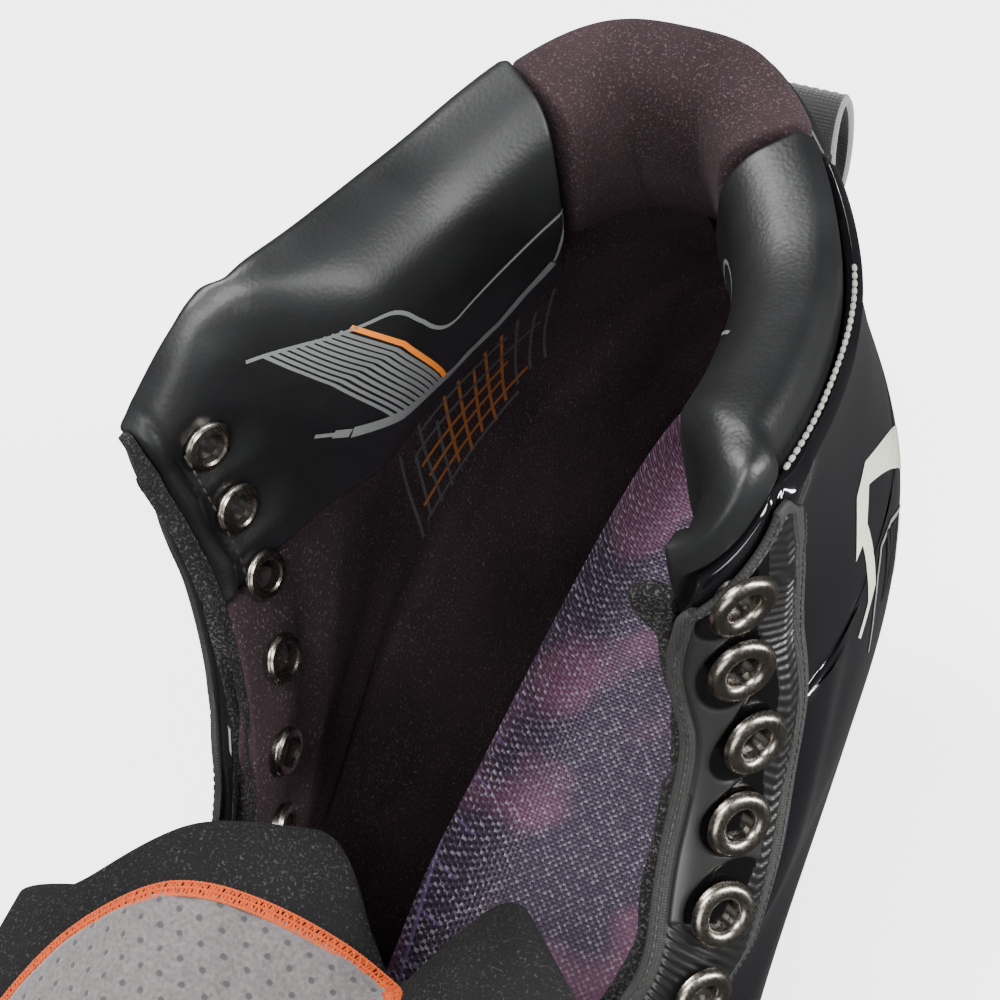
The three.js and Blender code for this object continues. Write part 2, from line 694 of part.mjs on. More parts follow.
function holder() {
  const half = runnerLength / 2;
  const beam = sideProfile([
    [-half + 12, beamFoot + 3], [-half + 30, beamFoot], [half - 30, beamFoot], [half - 12, beamFoot + 3],
    [half - 10, beamTop - 4], [half - 22, beamTop + 3], [towerInset + 20, beamTop],
    [-towerInset - 20, beamTop], [-half + 24, beamTop + 2], [-half + 11, beamTop - 4],
  ].reverse(), beamWidth);
  const body = join([beam, tower(-towerInset, frontFlangeZ, towerLength + 20), tower(towerInset, rearFlangeZ,
    towerLength - 2)]);
  const slotWidth = runnerThickness + 2 * fitGap;
  const slotTop = runnerHeight + fitGap;
  const end = half + 5;
  const slot = sideProfile([[-end, -5], [end, -5], [end, slotTop], [-end, slotTop]], slotWidth);
  const holes = boltPlaces.map((y) => crossHole(y, boltZ, boltDiameter + 2 * fitGap, 80));
  const pocketDepth = 60;
  const pocket = (y, side) => crossHole(y, boltZ, boltHeadDiameter + 1.2, pocketDepth)
    .translate(side * (pocketDepth / 2 + headSeat), 0, 0);
  const sunk = boltPlaces.flatMap((y) => [pocket(y, -1), pocket(y, 1)]);
  const rivets = rivetPlaces().map(rivetClearance);
  return cut(body, [slot, ...holes, ...sunk, ...rivets]);
}

const headSeat = beamWidth / 2 - 1.2;

function rivetPlaces() {
  const places = [];
  for (const [middle, top, reach] of [[-towerInset, frontFlangeZ, 30], [towerInset, rearFlangeZ, 26]]) {
    for (const side of [-1, 1]) {
      for (const end of [-1, 1]) places.push([side * (towerTopWidth / 2 - 8), middle + end * reach, top]);
    }
  }
  return places;
}

// Turned work stands on +Y; the rivets stand on +Z.
const upright = (geometry, [x, y, top]) => geometry.rotateX(Math.PI / 2).translate(x, y, top);

function rivetClearance(place) {
  const [hole, seat, low] = [rivetDiameter / 2 + 0.3, rivetHead / 2 + 0.4, -flangePlate];
  const profile = [[0, 9], [hole, 9], [hole, low], [seat, low], [seat, low - 12], [0, low - 12]];
  return upright(turned(profile, 9), place);
}

function rivet(place) {
  const [low, shank] = [-flangePlate - fitGap, fitGap + outsoleThickness - 1];
  const profile = [[0, low - 2], [rivetHead / 2 - 1, low - 1.5], [rivetHead / 2, low],
    [rivetDiameter / 2, low], [rivetDiameter / 2, shank], [0, shank]];
  return upright(turned(profile, 9), place);
}

function bolt(y) {
  const headX = headSeat + fitGap;
  const head = crossHole(y, boltZ, boltHeadDiameter, boltHeadHeight);
  const reach = headSeat + fitGap + 3;
  const shank = crossHole(y, boltZ, boltDiameter, headX + reach + 0.5);
  head.translate(headX + boltHeadHeight / 2, 0, 0);
  shank.translate((headX - reach) / 2 + 0.25, 0, 0);
  return join([head, shank]);
}

function nut(y) {
  const body = new THREE.CylinderGeometry(boltHeadDiameter / 2, boltHeadDiameter / 2, 3.4, 6);
  const placed = body.rotateZ(Math.PI / 2).translate(-headSeat - fitGap - 1.7, y, boltZ);
  return cut(placed, [crossHole(y, boltZ, boltDiameter + 2 * fitGap, 60)]);
}

// ---- pull loop ----

// An upright oval of webbing on a short doubled tail, which leans on the back of the shell.
const loopLean = 2.5; // the loop hangs a little behind its tail

function pullLoop() {
  const foot = skin(1, padFoot - loopDrop);
  const tailFront = foot.y + 2 * fitGap;
  const centreY = tailFront + loopThickness + loopLean;
  const centreZ = foot.z + loopTail + loopHeight / 2 - loopThickness;
  const oval = (inset) => {
    const [depth, height] = [loopDepth / 2 - inset, loopHeight / 2 - inset];
    const shape = new THREE.Shape();
    shape.absellipse(centreY, centreZ, depth, height, 0, 2 * Math.PI, false, 0);
    return shape.getPoints(9);
  };
  const ring = new THREE.Shape(oval(0));
  ring.holes = [new THREE.Path(oval(loopThickness).reverse())];
  const band = standAlongY(new THREE.ExtrudeGeometry(ring, { depth: loopWidth, bevelEnabled: false }));
  const tail = new THREE.BoxGeometry(loopWidth, 2 * loopThickness, loopTail);
  tail.translate(0, tailFront + loopThickness, foot.z + loopTail / 2);
  return join([band.translate(-loopWidth / 2, 0, 0), tail]).translate(loopOffset, 0, 0);
}

// ---- assembly ----

addPiece("outsole", cut(solePlate(-outsoleThickness, 0 - fitGap, 1.5, 0.03, 0.97),
  rivetPlaces().map(rivetClearance)), black.shell, 0.45);
addPiece("insole_board", solePlate(boardLow, boardLow + boardThickness, 7.5, 0.07, 0.955), 0x4a443c, 0.8);
addPiece("toe_cap", capShell(0, capWall, 0), black.shell, 0.2);
addPiece("toe_lining", capShell(capWall + fitGap, capWall + fitGap + 2, 0.3), black.felt, 0.9);
addPiece("heel_counter", heelCounter(), black.shell, 0.25);
addPiece("footbed", footbed(), 0x2a2438, 0.7);
addPiece("tongue_base", tongueBase(), black.felt, 0.95);
for (const side of ["lateral", "medial"]) {
  const lateral = side === "lateral";
  addPiece("quarter_" + side, quarter(lateral), black.shell, 0.15);
  addPiece("facing_" + side, facing(lateral), black.plastic, 0.5);
  addPiece("liner_" + side, liner(lateral), black.liner, 0.95);
  addPiece("ankle_pad_" + side, anklePad(lateral), black.leather, 0.45);
  eyeletPlaces(lateral).forEach((place, i) => {
    const number = String(i + 1).padStart(2, "0");
    addPiece("eyelet_" + side + "_" + number, eyelet(place), 0x9a948a, 0.3, 1);
  });
}
addPiece("tendon_guard_shell", guardShell(), black.shell, 0.3);
addPiece("tendon_guard_lining", guardLining(), 0x2a1a1c, 0.95);
addPiece("pull_loop", pullLoop(), 0x111111, 0.85);
addPiece("tongue_felt", tongueLayer(-tongueThickness, 0, 0, 0, 0), black.felt, 0.95);
addPiece("tongue_comfort_panel", tongueLayer(fitGap, fitGap + panelThickness, 1, 2, 1), 0x8b8688, 0.8);
const laceGuardTop = -tongueThickness - fitGap;
addPiece("tongue_lace_guard", tongueLayer(laceGuardTop - guardPanelThickness, laceGuardTop, 1, 3, 1),
  black.plastic, 0.5);
addPiece("blade_holder", holder(), 0xe4e4e2, 0.35);
addPiece("runner", runner(), 0xc8ccd0, 0.15, 1);
["front", "rear"].forEach((end, i) => {
  addPiece("runner_bolt_" + end, bolt(boltPlaces[i]), 0x8c8f92, 0.3, 1);
  addPiece("runner_nut_" + end, nut(boltPlaces[i]), 0x8c8f92, 0.3, 1);
});
rivetPlaces().forEach((place, i) => addPiece("rivet_" + (i + 1), rivet(place), 0xa7a39a, 0.35, 1));

export default group;
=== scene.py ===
# Looks of a hockey skate for the left foot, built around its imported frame.
# The boot's surface is worked out in millimetres; every mesh is in metres.
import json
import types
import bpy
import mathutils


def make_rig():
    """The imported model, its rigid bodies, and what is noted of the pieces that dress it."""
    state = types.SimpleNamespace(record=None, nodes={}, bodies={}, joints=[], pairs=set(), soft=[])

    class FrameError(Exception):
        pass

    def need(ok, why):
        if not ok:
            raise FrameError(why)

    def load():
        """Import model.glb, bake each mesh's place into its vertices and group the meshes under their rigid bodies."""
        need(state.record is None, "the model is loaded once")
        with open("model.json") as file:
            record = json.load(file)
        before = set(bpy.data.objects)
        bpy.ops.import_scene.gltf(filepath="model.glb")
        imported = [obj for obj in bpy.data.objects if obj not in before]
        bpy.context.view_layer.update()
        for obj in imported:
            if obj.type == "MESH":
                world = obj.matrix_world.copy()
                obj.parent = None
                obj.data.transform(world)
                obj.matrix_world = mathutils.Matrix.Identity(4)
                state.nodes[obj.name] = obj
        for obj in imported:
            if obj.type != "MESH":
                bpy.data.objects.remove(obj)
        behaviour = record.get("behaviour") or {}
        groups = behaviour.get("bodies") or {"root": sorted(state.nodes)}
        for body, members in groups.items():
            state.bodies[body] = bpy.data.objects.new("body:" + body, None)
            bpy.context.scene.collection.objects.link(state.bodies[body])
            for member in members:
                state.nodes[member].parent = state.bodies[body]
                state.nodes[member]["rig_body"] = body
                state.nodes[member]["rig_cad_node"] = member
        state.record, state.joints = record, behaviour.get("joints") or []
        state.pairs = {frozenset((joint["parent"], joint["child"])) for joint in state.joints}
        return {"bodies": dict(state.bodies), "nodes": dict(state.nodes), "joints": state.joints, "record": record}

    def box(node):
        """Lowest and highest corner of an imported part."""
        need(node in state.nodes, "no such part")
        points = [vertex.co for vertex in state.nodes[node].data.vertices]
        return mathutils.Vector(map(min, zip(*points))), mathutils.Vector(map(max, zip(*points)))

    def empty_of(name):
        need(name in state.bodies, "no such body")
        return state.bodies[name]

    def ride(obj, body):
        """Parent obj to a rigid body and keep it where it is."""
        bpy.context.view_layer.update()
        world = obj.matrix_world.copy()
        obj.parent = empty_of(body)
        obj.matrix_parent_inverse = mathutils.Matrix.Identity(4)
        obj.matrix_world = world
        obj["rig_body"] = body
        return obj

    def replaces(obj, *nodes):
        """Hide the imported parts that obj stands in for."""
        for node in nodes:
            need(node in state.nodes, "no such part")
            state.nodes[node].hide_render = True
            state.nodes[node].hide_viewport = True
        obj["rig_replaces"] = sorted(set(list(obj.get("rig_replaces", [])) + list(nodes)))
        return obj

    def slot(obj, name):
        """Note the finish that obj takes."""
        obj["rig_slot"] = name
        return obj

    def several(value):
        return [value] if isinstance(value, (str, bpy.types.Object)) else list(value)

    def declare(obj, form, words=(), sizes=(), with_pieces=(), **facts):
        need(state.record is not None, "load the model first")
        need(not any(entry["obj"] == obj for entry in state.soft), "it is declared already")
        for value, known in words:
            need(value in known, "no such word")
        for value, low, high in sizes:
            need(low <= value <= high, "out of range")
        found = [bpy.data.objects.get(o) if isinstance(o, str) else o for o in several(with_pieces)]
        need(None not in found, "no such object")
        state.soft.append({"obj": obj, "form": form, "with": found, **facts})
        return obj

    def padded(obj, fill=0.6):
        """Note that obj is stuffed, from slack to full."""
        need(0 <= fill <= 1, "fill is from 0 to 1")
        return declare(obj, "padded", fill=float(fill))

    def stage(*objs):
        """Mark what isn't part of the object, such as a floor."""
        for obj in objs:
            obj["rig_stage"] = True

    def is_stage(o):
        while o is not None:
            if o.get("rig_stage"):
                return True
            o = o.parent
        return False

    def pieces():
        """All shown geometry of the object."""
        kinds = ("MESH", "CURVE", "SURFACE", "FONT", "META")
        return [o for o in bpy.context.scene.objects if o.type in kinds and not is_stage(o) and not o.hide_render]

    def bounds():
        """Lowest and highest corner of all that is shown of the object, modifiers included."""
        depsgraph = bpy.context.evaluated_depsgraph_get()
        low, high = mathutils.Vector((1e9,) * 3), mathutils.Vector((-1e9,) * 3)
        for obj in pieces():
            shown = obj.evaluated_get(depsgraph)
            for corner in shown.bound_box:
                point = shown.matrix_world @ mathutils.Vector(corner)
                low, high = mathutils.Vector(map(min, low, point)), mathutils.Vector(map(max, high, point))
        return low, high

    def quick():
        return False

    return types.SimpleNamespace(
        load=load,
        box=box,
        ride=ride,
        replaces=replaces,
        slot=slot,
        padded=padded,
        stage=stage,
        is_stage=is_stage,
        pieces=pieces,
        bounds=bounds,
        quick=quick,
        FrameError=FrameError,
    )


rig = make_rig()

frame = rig.load()

import json
import math

import bpy
import numpy as np
from mathutils import Matrix, Vector

mm = 0.001
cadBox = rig.bounds()
nodes = frame["nodes"]
print("frame loaded:", len(nodes), "nodes")

# The last, in millimetres over the sole line: height against front, back and half widths.
last = {
    "front": [(0, -148), (16, -151), (26, -150.5), (36, -147.5), (42, -143), (48, -134), (52, -124),
              (56, -108), (59.2, -91), (63, -74), (67.5, -58), (73.5, -42), (82, -26), (93, -14),
              (103, -2), (116, 8), (130, 14), (144, 16), (158, 17)],
    "back": [(0, 131), (16, 136), (36, 138), (58, 136), (78, 131), (94, 124), (110, 117), (126, 112),
             (142, 109), (158, 110)],
    "corner": [(0, 0.8), (52, 0.8), (56, 0.75), (59.2, 0.65), (63, 0.5), (67.5, 0.4), (73.5, 0.3),
               (82, 0.2), (158, 0.2)],
    "lateral": {
        "fore": [(0, 52), (16, 58), (36, 57), (48, 51), (56, 44), (63, 43.5), (73.5, 47), (82, 50),
                 (103, 48), (116, 47), (130, 45), (144, 44), (158, 44)],
        "mid": [(0, 40), (16, 45), (36, 47), (64, 49), (86, 50), (104, 49), (126, 44), (144, 41.5),
                (158, 41)],
        "rear": [(0, 33), (16, 38), (36, 42), (64, 42), (86, 40), (104, 37), (126, 34), (144, 33),
                 (158, 34)]},
    "medial": {
        "fore": [(0, 50), (16, 56), (36, 54), (48, 49), (56, 43), (63, 42), (73.5, 43), (82, 41),
                 (93, 40.5), (103, 43), (116, 47), (130, 50), (144, 52), (158, 53)],
        "mid": [(0, 31), (16, 36), (36, 40), (64, 45), (86, 47), (104, 47), (126, 45), (144, 43),
                (158, 42)],
        "rear": [(0, 32), (16, 36), (36, 39), (64, 40), (86, 39), (104, 37), (126, 35), (144, 34),
                 (158, 35)]},
    "eyelets": [(144, 20.8), (130, 18), (115.5, 13.7), (103, 5), (92.8, -6.4), (81.5, -17.5),
                (73.5, -30), (67.5, -43.5), (63, -57), (59.2, -71), (56, -85)],
}
boot = {
    "soleLine": 64, "heelRise": 8, "shaftHeight": 158, "shellTop": 150, "padFoot": 112,
    "medialLead": 12, "medialSplay": 0.42, "guardTurn": 0.73, "capSeam": -98, "facingFoot": 56,
    "shellWall": 2.4, "liningWall": 2.8, "linerWall": 6, "padWall": 17, "rollWall": 12, "gap": 0.4,
    "facingWall": 1.2, "eyeletCount": 11,
}


def ease(value, start, end):
    t = np.clip((np.asarray(value, float) - start) / (end - start), 0, 1)
    return t * t * (3 - 2 * t)


def mix(a, b, share):
    return a + (b - a) * share


# A smooth curve through the pairs.
def follow(pairs, at):
    h, v = np.array(sorted(pairs), float).T
    slope = np.diff(v) / np.diff(h)
    lean = np.concatenate([slope[:1], (slope[1:] + slope[:-1]) / 2, slope[-1:]])
    a = np.clip(at, h[0], h[-1])
    i = np.clip(np.searchsorted(h, a) - 1, 0, len(h) - 2)
    span = h[i + 1] - h[i]
    t = (a - h[i]) / span
    bend = t * t * (3 - 2 * t)
    ends = t * (1 - t) ** 2 * lean[i] + t * t * (t - 1) * lean[i + 1]
    return v[i] + (v[i + 1] - v[i]) * bend + span * ends


# The boot's skin: turn runs 0 (front) to 1 (heel) on the outer side, then to 2 on the inner side.
def skin(turn, height):
    turn, height = np.broadcast_arrays(np.mod(np.asarray(turn, float), 2), np.asarray(height, float))
    outer = turn < 1
    angle = math.pi * np.where(outer, turn, 2 - turn)
    front = follow(last["front"], height) - np.where(outer, 0, boot["medialLead"] * ease(height, 66, 86))
    back = follow(last["back"], height)
    along = (1 - np.cos(angle)) / 2
    y = mix(front, back, along)
    fore, mid, rear = [np.where(outer, follow(last["lateral"][part], height),
                                follow(last["medial"][part], height)) for part in ("fore", "mid", "rear")]
    station = (np.clip(along, 0.04, 0.96) - 0.5) / 0.35
    half = mid + (rear - fore) / 2 * station + ((fore + rear) / 2 - mid) * station ** 2
    spread = np.where(outer, 0, ease(height, 74, 92))
    sharp = mix(follow(last["corner"], height), 0.13, spread)
    power = mix(sharp, 0.72, ease(along, 0.3, 0.7))
    ahead = np.maximum(0, follow(last["eyelets"], height) + 6 - y)
    splay = spread * boot["medialSplay"] * ahead ** 2 / (ahead + 6)
    x = half * np.maximum(np.sin(angle), 0) ** power + splay
    rise = boot["heelRise"] * ease(y, -60, 60) * (1 - ease(height, 20, 110))
    return np.stack([np.where(outer, x, -x), y, boot["soleLine"] + height + rise], -1)


def skinNormal(turn, height):
    level = np.minimum(height, boot["shaftHeight"] - 0.6)
    around = skin(turn + 0.004, level) - skin(turn - 0.004, level)
    up = skin(turn, level + 0.6) - skin(turn, np.maximum(level - 0.6, 0))
    out = np.cross(around, up)
    return out / np.linalg.norm(out, axis=-1, keepdims=True)


def wall(turn, height, depth):
    return skin(turn, height) - skinNormal(turn, height) * np.asarray(depth)[..., None]


# Where each height's ring lies a walked distance behind (+) or ahead (-) of the eyelet line.
ringHeights = np.arange(0, 159.0)
walkRange = np.arange(-90.0, 241.0)


def ringTable(side):
    around = np.linspace(0.001, 1, 500)
    table, toHeel = [], []
    for height in ringHeights:
        turn = around if side == "lateral" else 2 - around
        points = skin(turn, np.full(500, height))
        walked = np.concatenate([[0], np.cumsum(np.linalg.norm(np.diff(points, axis=0), axis=1))])
        here = np.interp(follow(last["eyelets"], height), points[:, 1], walked)
        table.append(np.interp(here + walkRange, walked, around))
        toHeel.append(walked[-1] - here)
    return np.array(table), np.array(toHeel)


rings = {side: ringTable(side) for side in ("lateral", "medial")}


# 0 at the front to 1 at the heel.
def aroundAt(side, walked, height):
    table = rings[side][0]
    h = np.clip(height, 0, 157.999)
    w = np.clip(walked, walkRange[0], walkRange[-1] - 0.001) - walkRange[0]
    i, j = np.floor(h).astype(int), np.floor(w).astype(int)
    low = mix(table[i, j], table[i, j + 1], w - j)
    high = mix(table[i + 1, j], table[i + 1, j + 1], w - j)
    return mix(low, high, h - i)


def toTurn(side, around):
    return around if side == "lateral" else 2 - around


def onBoot(side, walked, height, depth=0.0):
    walked, height, depth = np.broadcast_arrays(*[np.asarray(v, float) for v in (walked, height, depth)])
    return wall(toTurn(side, aroundAt(side, walked, height)), height, depth)


def heelWalk(side, height):
    return np.interp(height, ringHeights, rings[side][1])


def floorAt(y):
    return boot["soleLine"] + boot["heelRise"] * ease(y, -60, 60)


# Making and finishing pieces.
def deselectAll():
    for thing in bpy.context.selected_objects:
        thing.select_set(False)


def makeActive(piece):
    deselectAll()
    piece.select_set(True)
    bpy.context.view_layer.objects.active = piece


def addModifier(piece, kind, **settings):
    modifier = piece.modifiers.new(kind.lower(), kind)
    for name, value in settings.items():
        setattr(modifier, name, value)
    makeActive(piece)
    bpy.ops.object.modifier_apply(modifier=modifier.name)


def smoothShade(piece, angle=40):
    makeActive(piece)
    bpy.ops.object.shade_smooth_by_angle(angle=math.radians(angle))


# Points in millimetres; pattern gives each point its place on the cloth or print, in millimetres.
def newPiece(name, points, faces, pattern=None):
    mesh = bpy.data.meshes.new(name)
    mesh.from_pydata((np.asarray(points, float) * mm).tolist(), [], np.asarray(faces).tolist())
    if pattern is not None:
        layer = mesh.uv_layers.new(name="pattern")
        corner = np.zeros(len(mesh.loops), int)
        mesh.loops.foreach_get("vertex_index", corner)
        layer.data.foreach_set("uv", np.asarray(pattern, float)[corner].ravel())
    piece = bpy.data.objects.new(name, mesh)
    bpy.context.scene.collection.objects.link(piece)
    return piece


# A number for each point that its material reads, such as where a groove lies.
def setTone(piece, values):
    tone = piece.data.attributes.new("tone", "FLOAT", "POINT")
    tone.data.foreach_set("value", np.asarray(values, np.float32).ravel())


def gridFaces(rows, columns, start=0, flip=False):
    i = np.arange(rows * columns).reshape(rows, columns) + start
    quads = np.stack([i[:-1, :-1], i[:-1, 1:], i[1:, 1:], i[1:, :-1]], -1).reshape(-1, 4)
    return quads[:, ::-1] if flip else quads


# The faces of a closed slab whose two faces are grids of the same size.
def slabFaces(rows, columns):
    count = rows * columns
    i = np.arange(count).reshape(rows, columns)
    rim = np.concatenate([i[0, :-1], i[:-1, -1], i[-1, :0:-1], i[:0:-1, 0]])
    after = np.roll(rim, -1)
    edge = np.stack([after, rim, rim + count, after + count], -1)
    return np.concatenate([gridFaces(rows, columns), gridFaces(rows, columns, count, True), edge])


def faceOut(piece):
    makeActive(piece)
    bpy.ops.object.mode_set(mode="EDIT")
    bpy.ops.mesh.select_all(action="SELECT")
    bpy.ops.mesh.normals_make_consistent(inside=False)
    bpy.ops.object.mode_set(mode="OBJECT")


def finishPiece(piece, material, slot, body="boot", stands=(), angle=40):
    piece.data.materials.clear()
    piece.data.materials.append(material)
    if angle:
        smoothShade(piece, angle)
    if "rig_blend" not in piece:
        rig.ride(piece, body)
    if slot:
        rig.slot(piece, slot)
    if stands:
        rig.replaces(piece, *stands)
    return piece


def clustered(count, pull=0.55):
    t = np.linspace(0, 1, count + 1)
    return mix(t, (1 - np.cos(math.pi * t)) / 2, pull)


# 0 at a sheet's border to 1 a radius inside it; radii are first, last, foot and top.
def edgeRound(points, radii):
    first, last_, foot, top = radii
    across = np.linalg.norm(np.diff(points, axis=1), axis=-1)
    along = np.linalg.norm(np.diff(points, axis=0), axis=-1)
    a = np.pad(np.cumsum(across, 1), ((0, 0), (1, 0)))
    b = np.pad(np.cumsum(along, 0), ((1, 0), (0, 0)))
    near = [a / max(first, 1e-3), (a[:, -1:] - a) / max(last_, 1e-3),
            b / max(foot, 1e-3), (b[-1:] - b) / max(top, 1e-3)]
    share = [np.sqrt(1 - (1 - np.clip(n, 0, 1)) ** 2) for n in near]
    return np.minimum.reduce(share)


# A closed layer of the boot between two depths, with rounded borders.
def layerPiece(name, turn, height, outer, inner, radii, pattern, waist=0.5):
    base = skin(turn, height)
    full = mix(0.12, 1, edgeRound(base, radii))
    middle = mix(outer, inner, waist)
    normal = skinNormal(turn, height)
    faces = [base - normal * mix(middle, depth, full)[..., None] for depth in (outer, inner)]
    rows, columns = turn.shape
    points = np.concatenate([face.reshape(-1, 3) for face in faces])
    flat = np.stack([pattern[0].ravel(), pattern[1].ravel()], -1)
    piece = newPiece(name, points, slabFaces(rows, columns), np.concatenate([flat, flat]))
    faceOut(piece)
    return piece


# Flat printed lines: each line is a row of points, with the surface's normals beside it.
def ribbon(name, lines, width):
    points, faces = [], []
    for line, normal in lines:
        line, normal = np.asarray(line, float), np.asarray(normal, float)
        forward = np.gradient(line, axis=0)
        aside = np.cross(normal, forward)
        aside /= np.linalg.norm(aside, axis=1, keepdims=True) + 1e-9
        wide = (width if np.isscalar(width) else np.asarray(width)) * 0.5
        start = len(points)
        for k in range(len(line)):
            points += [line[k] - aside[k] * wide, line[k] + aside[k] * wide]
        for k in range(len(line) - 1):
            a = start + 2 * k
            faces.append((a, a + 1, a + 3, a + 2))
    return newPiece(name, points, faces)


# Settles a print or a stitch line on a piece's finished surface.
def layOn(piece, target, lift):
    addModifier(piece, "SHRINKWRAP", target=target, wrap_method="NEAREST_SURFACEPOINT",
                wrap_mode="ABOVE_SURFACE", offset=lift * mm)


# Short rounded threads, one for each pair of points.
def threads(name, starts, ends, radius, sides=5):
    starts, ends = np.asarray(starts, float), np.asarray(ends, float)
    shares = np.array([-0.06, 0.06, 0.5, 0.94, 1.06])
    widths = np.array([0.25, 0.8, 1.0, 0.8, 0.25])
    forward = ends - starts
    forward /= np.linalg.norm(forward, axis=1, keepdims=True) + 1e-9
    helper = np.where(np.abs(forward[:, 2:3]) < 0.9, [[0, 0, 1.0]], [[1.0, 0, 0]])
    a = np.cross(forward, helper)
    a /= np.linalg.norm(a, axis=1, keepdims=True)
    b = np.cross(forward, a)
    angle = 2 * math.pi * np.arange(sides) / sides
    circle = (np.cos(angle)[None, None, :, None] * a[:, None, None]
              + np.sin(angle)[None, None, :, None] * b[:, None, None])
    spine = starts[:, None] + (ends - starts)[:, None] * shares[None, :, None]
    points = spine[:, :, None] + circle * (widths * radius)[None, :, None, None]
    count = len(shares) * sides
    ring = np.arange(sides)
    one = []
    for k in range(len(shares) - 1):
        low, high = k * sides, (k + 1) * sides
        one += [(low + i, low + (i + 1) % sides, high + (i + 1) % sides, high + i) for i in ring]
    caps = [tuple(ring[::-1]), tuple(ring + count - sides)]
    faces = []
    for n in range(len(starts)):
        faces += [tuple(v + n * count for v in face) for face in one + caps]
    mesh = bpy.data.meshes.new(name)
    mesh.from_pydata((points.reshape(-1, 3) * mm).tolist(), [], faces)
    piece = bpy.data.objects.new(name, mesh)
    bpy.context.scene.collection.objects.link(piece)
    faceOut(piece)
    return piece


# Points a step apart along a line, with the share of the line at each.
def evenly(points, step):
    points = np.asarray(points, float)
    length = np.concatenate([[0], np.cumsum(np.linalg.norm(np.diff(points, axis=0), axis=1))])
    at = np.arange(0, length[-1], step)
    return np.stack([np.interp(at, length, points[:, k]) for k in range(points.shape[1])], -1)


# Effects that several materials use, as node groups.
def newGroup(name, inputs, outputs):
    group = bpy.data.node_groups.new(name, "ShaderNodeTree")
    for label, kind, value in inputs:
        socket = group.interface.new_socket(label, in_out="INPUT", socket_type=kind)
        if value is not None:
            socket.default_value = value
    for label, kind in outputs:
        group.interface.new_socket(label, in_out="OUTPUT", socket_type=kind)
    start = group.nodes.new("NodeGroupInput")
    end = group.nodes.new("NodeGroupOutput")
    return group, start, end


def addNode(tree, kind, settings=None, **inputs):
    node = tree.nodes.new(kind)
    for key, value in (settings or {}).items():
        setattr(node, key, value)
    for key, value in inputs.items():
        socket = node.inputs[int(key[1:])] if key[0] == "i" and key[1:].isdigit() else node.inputs[key]
        if isinstance(value, bpy.types.NodeSocket):
            tree.links.new(value, socket)
        else:
            socket.default_value = value
    return node


def doMath(tree, operation, a, b=0.0, c=0.0):
    node = addNode(tree, "ShaderNodeMath", {"operation": operation}, i0=a, i1=b, i2=c)
    return node.outputs[0]


def ramp(tree, fac, low, high, start=0.0, end=1.0):
    node = addNode(tree, "ShaderNodeMapRange", None, Value=fac, **{
        "From Min": low, "From Max": high, "To Min": start, "To Max": end})
    return node.outputs[0]


def mixColour(tree, fac, a, b):
    node = tree.nodes.new("ShaderNodeMix")
    node.data_type = "RGBA"
    for socket, value in ((node.inputs[0], fac), (node.inputs[6], a), (node.inputs[7], b)):
        if isinstance(value, bpy.types.NodeSocket):
            tree.links.new(value, socket)
        else:
            socket.default_value = value if isinstance(value, float) else (*value[:3], 1)
    return node.outputs[2]


# Bright flecks of loose fibre on a dark pile.
def makeLintGroup():
    group, start, end = newGroup("lint", [("Vector", "NodeSocketVector", None), ("Scale", "NodeSocketFloat", 900),
                                          ("Share", "NodeSocketFloat", 0.3)],
                                 [("Flecks", "NodeSocketFloat"), ("Height", "NodeSocketFloat")])
    fine = addNode(group, "ShaderNodeTexNoise", None, Vector=start.outputs[0], Scale=start.outputs[1],
                   Detail=3, Roughness=0.75)
    slow = addNode(group, "ShaderNodeTexNoise", None, Vector=start.outputs[0], Scale=60, Detail=3)
    level = doMath(group, "SUBTRACT", 0.72, doMath(group, "MULTIPLY", start.outputs[2], 0.25))
    level = doMath(group, "ADD", level, doMath(group, "MULTIPLY", slow.outputs[0], -0.08))
    flecks = ramp(group, doMath(group, "SUBTRACT", fine.outputs[0], level), 0.0, 0.09)
    group.links.new(flecks, end.inputs[0])
    group.links.new(doMath(group, "ADD", fine.outputs[0], flecks), end.inputs[1])
    return group


# Soft leather or moulded grain: fine pebbles over slow unevenness.
def makeGrainGroup():
    group, start, end = newGroup("grain", [("Vector", "NodeSocketVector", None), ("Scale", "NodeSocketFloat", 900),
                                           ("Slow", "NodeSocketFloat", 0.4)],
                                 [("Height", "NodeSocketFloat"), ("Patches", "NodeSocketFloat")])
    cells = addNode(group, "ShaderNodeTexVoronoi", {"feature": "SMOOTH_F1"}, Vector=start.outputs[0],
                    Scale=start.outputs[1], Smoothness=0.7)
    slow = addNode(group, "ShaderNodeTexNoise", None, Vector=start.outputs[0], Scale=38, Detail=4)
    height = doMath(group, "ADD", doMath(group, "MULTIPLY", cells.outputs[0], 0.5),
                    doMath(group, "MULTIPLY", slow.outputs[0], start.outputs[2]))
    group.links.new(height, end.inputs[0])
    group.links.new(ramp(group, slow.outputs[0], 0.35, 0.65), end.inputs[1])
    return group


# Crossed yarns from two coordinates: height, and which yarn is on top.
def makeWeaveGroup():
    group, start, end = newGroup("weave", [("Across", "NodeSocketFloat", 0), ("Along", "NodeSocketFloat", 0)],
                                 [("Height", "NodeSocketFloat"), ("Over", "NodeSocketFloat")])
    a = doMath(group, "SINE", doMath(group, "MULTIPLY", start.outputs[0], 2 * math.pi))
    b = doMath(group, "SINE", doMath(group, "MULTIPLY", start.outputs[1], 2 * math.pi))
    over = doMath(group, "MULTIPLY", a, b)
    height = doMath(group, "ABSOLUTE", over)
    group.links.new(doMath(group, "POWER", height, 0.5), end.inputs[0])
    group.links.new(ramp(group, over, -0.1, 0.1), end.inputs[1])
    return group


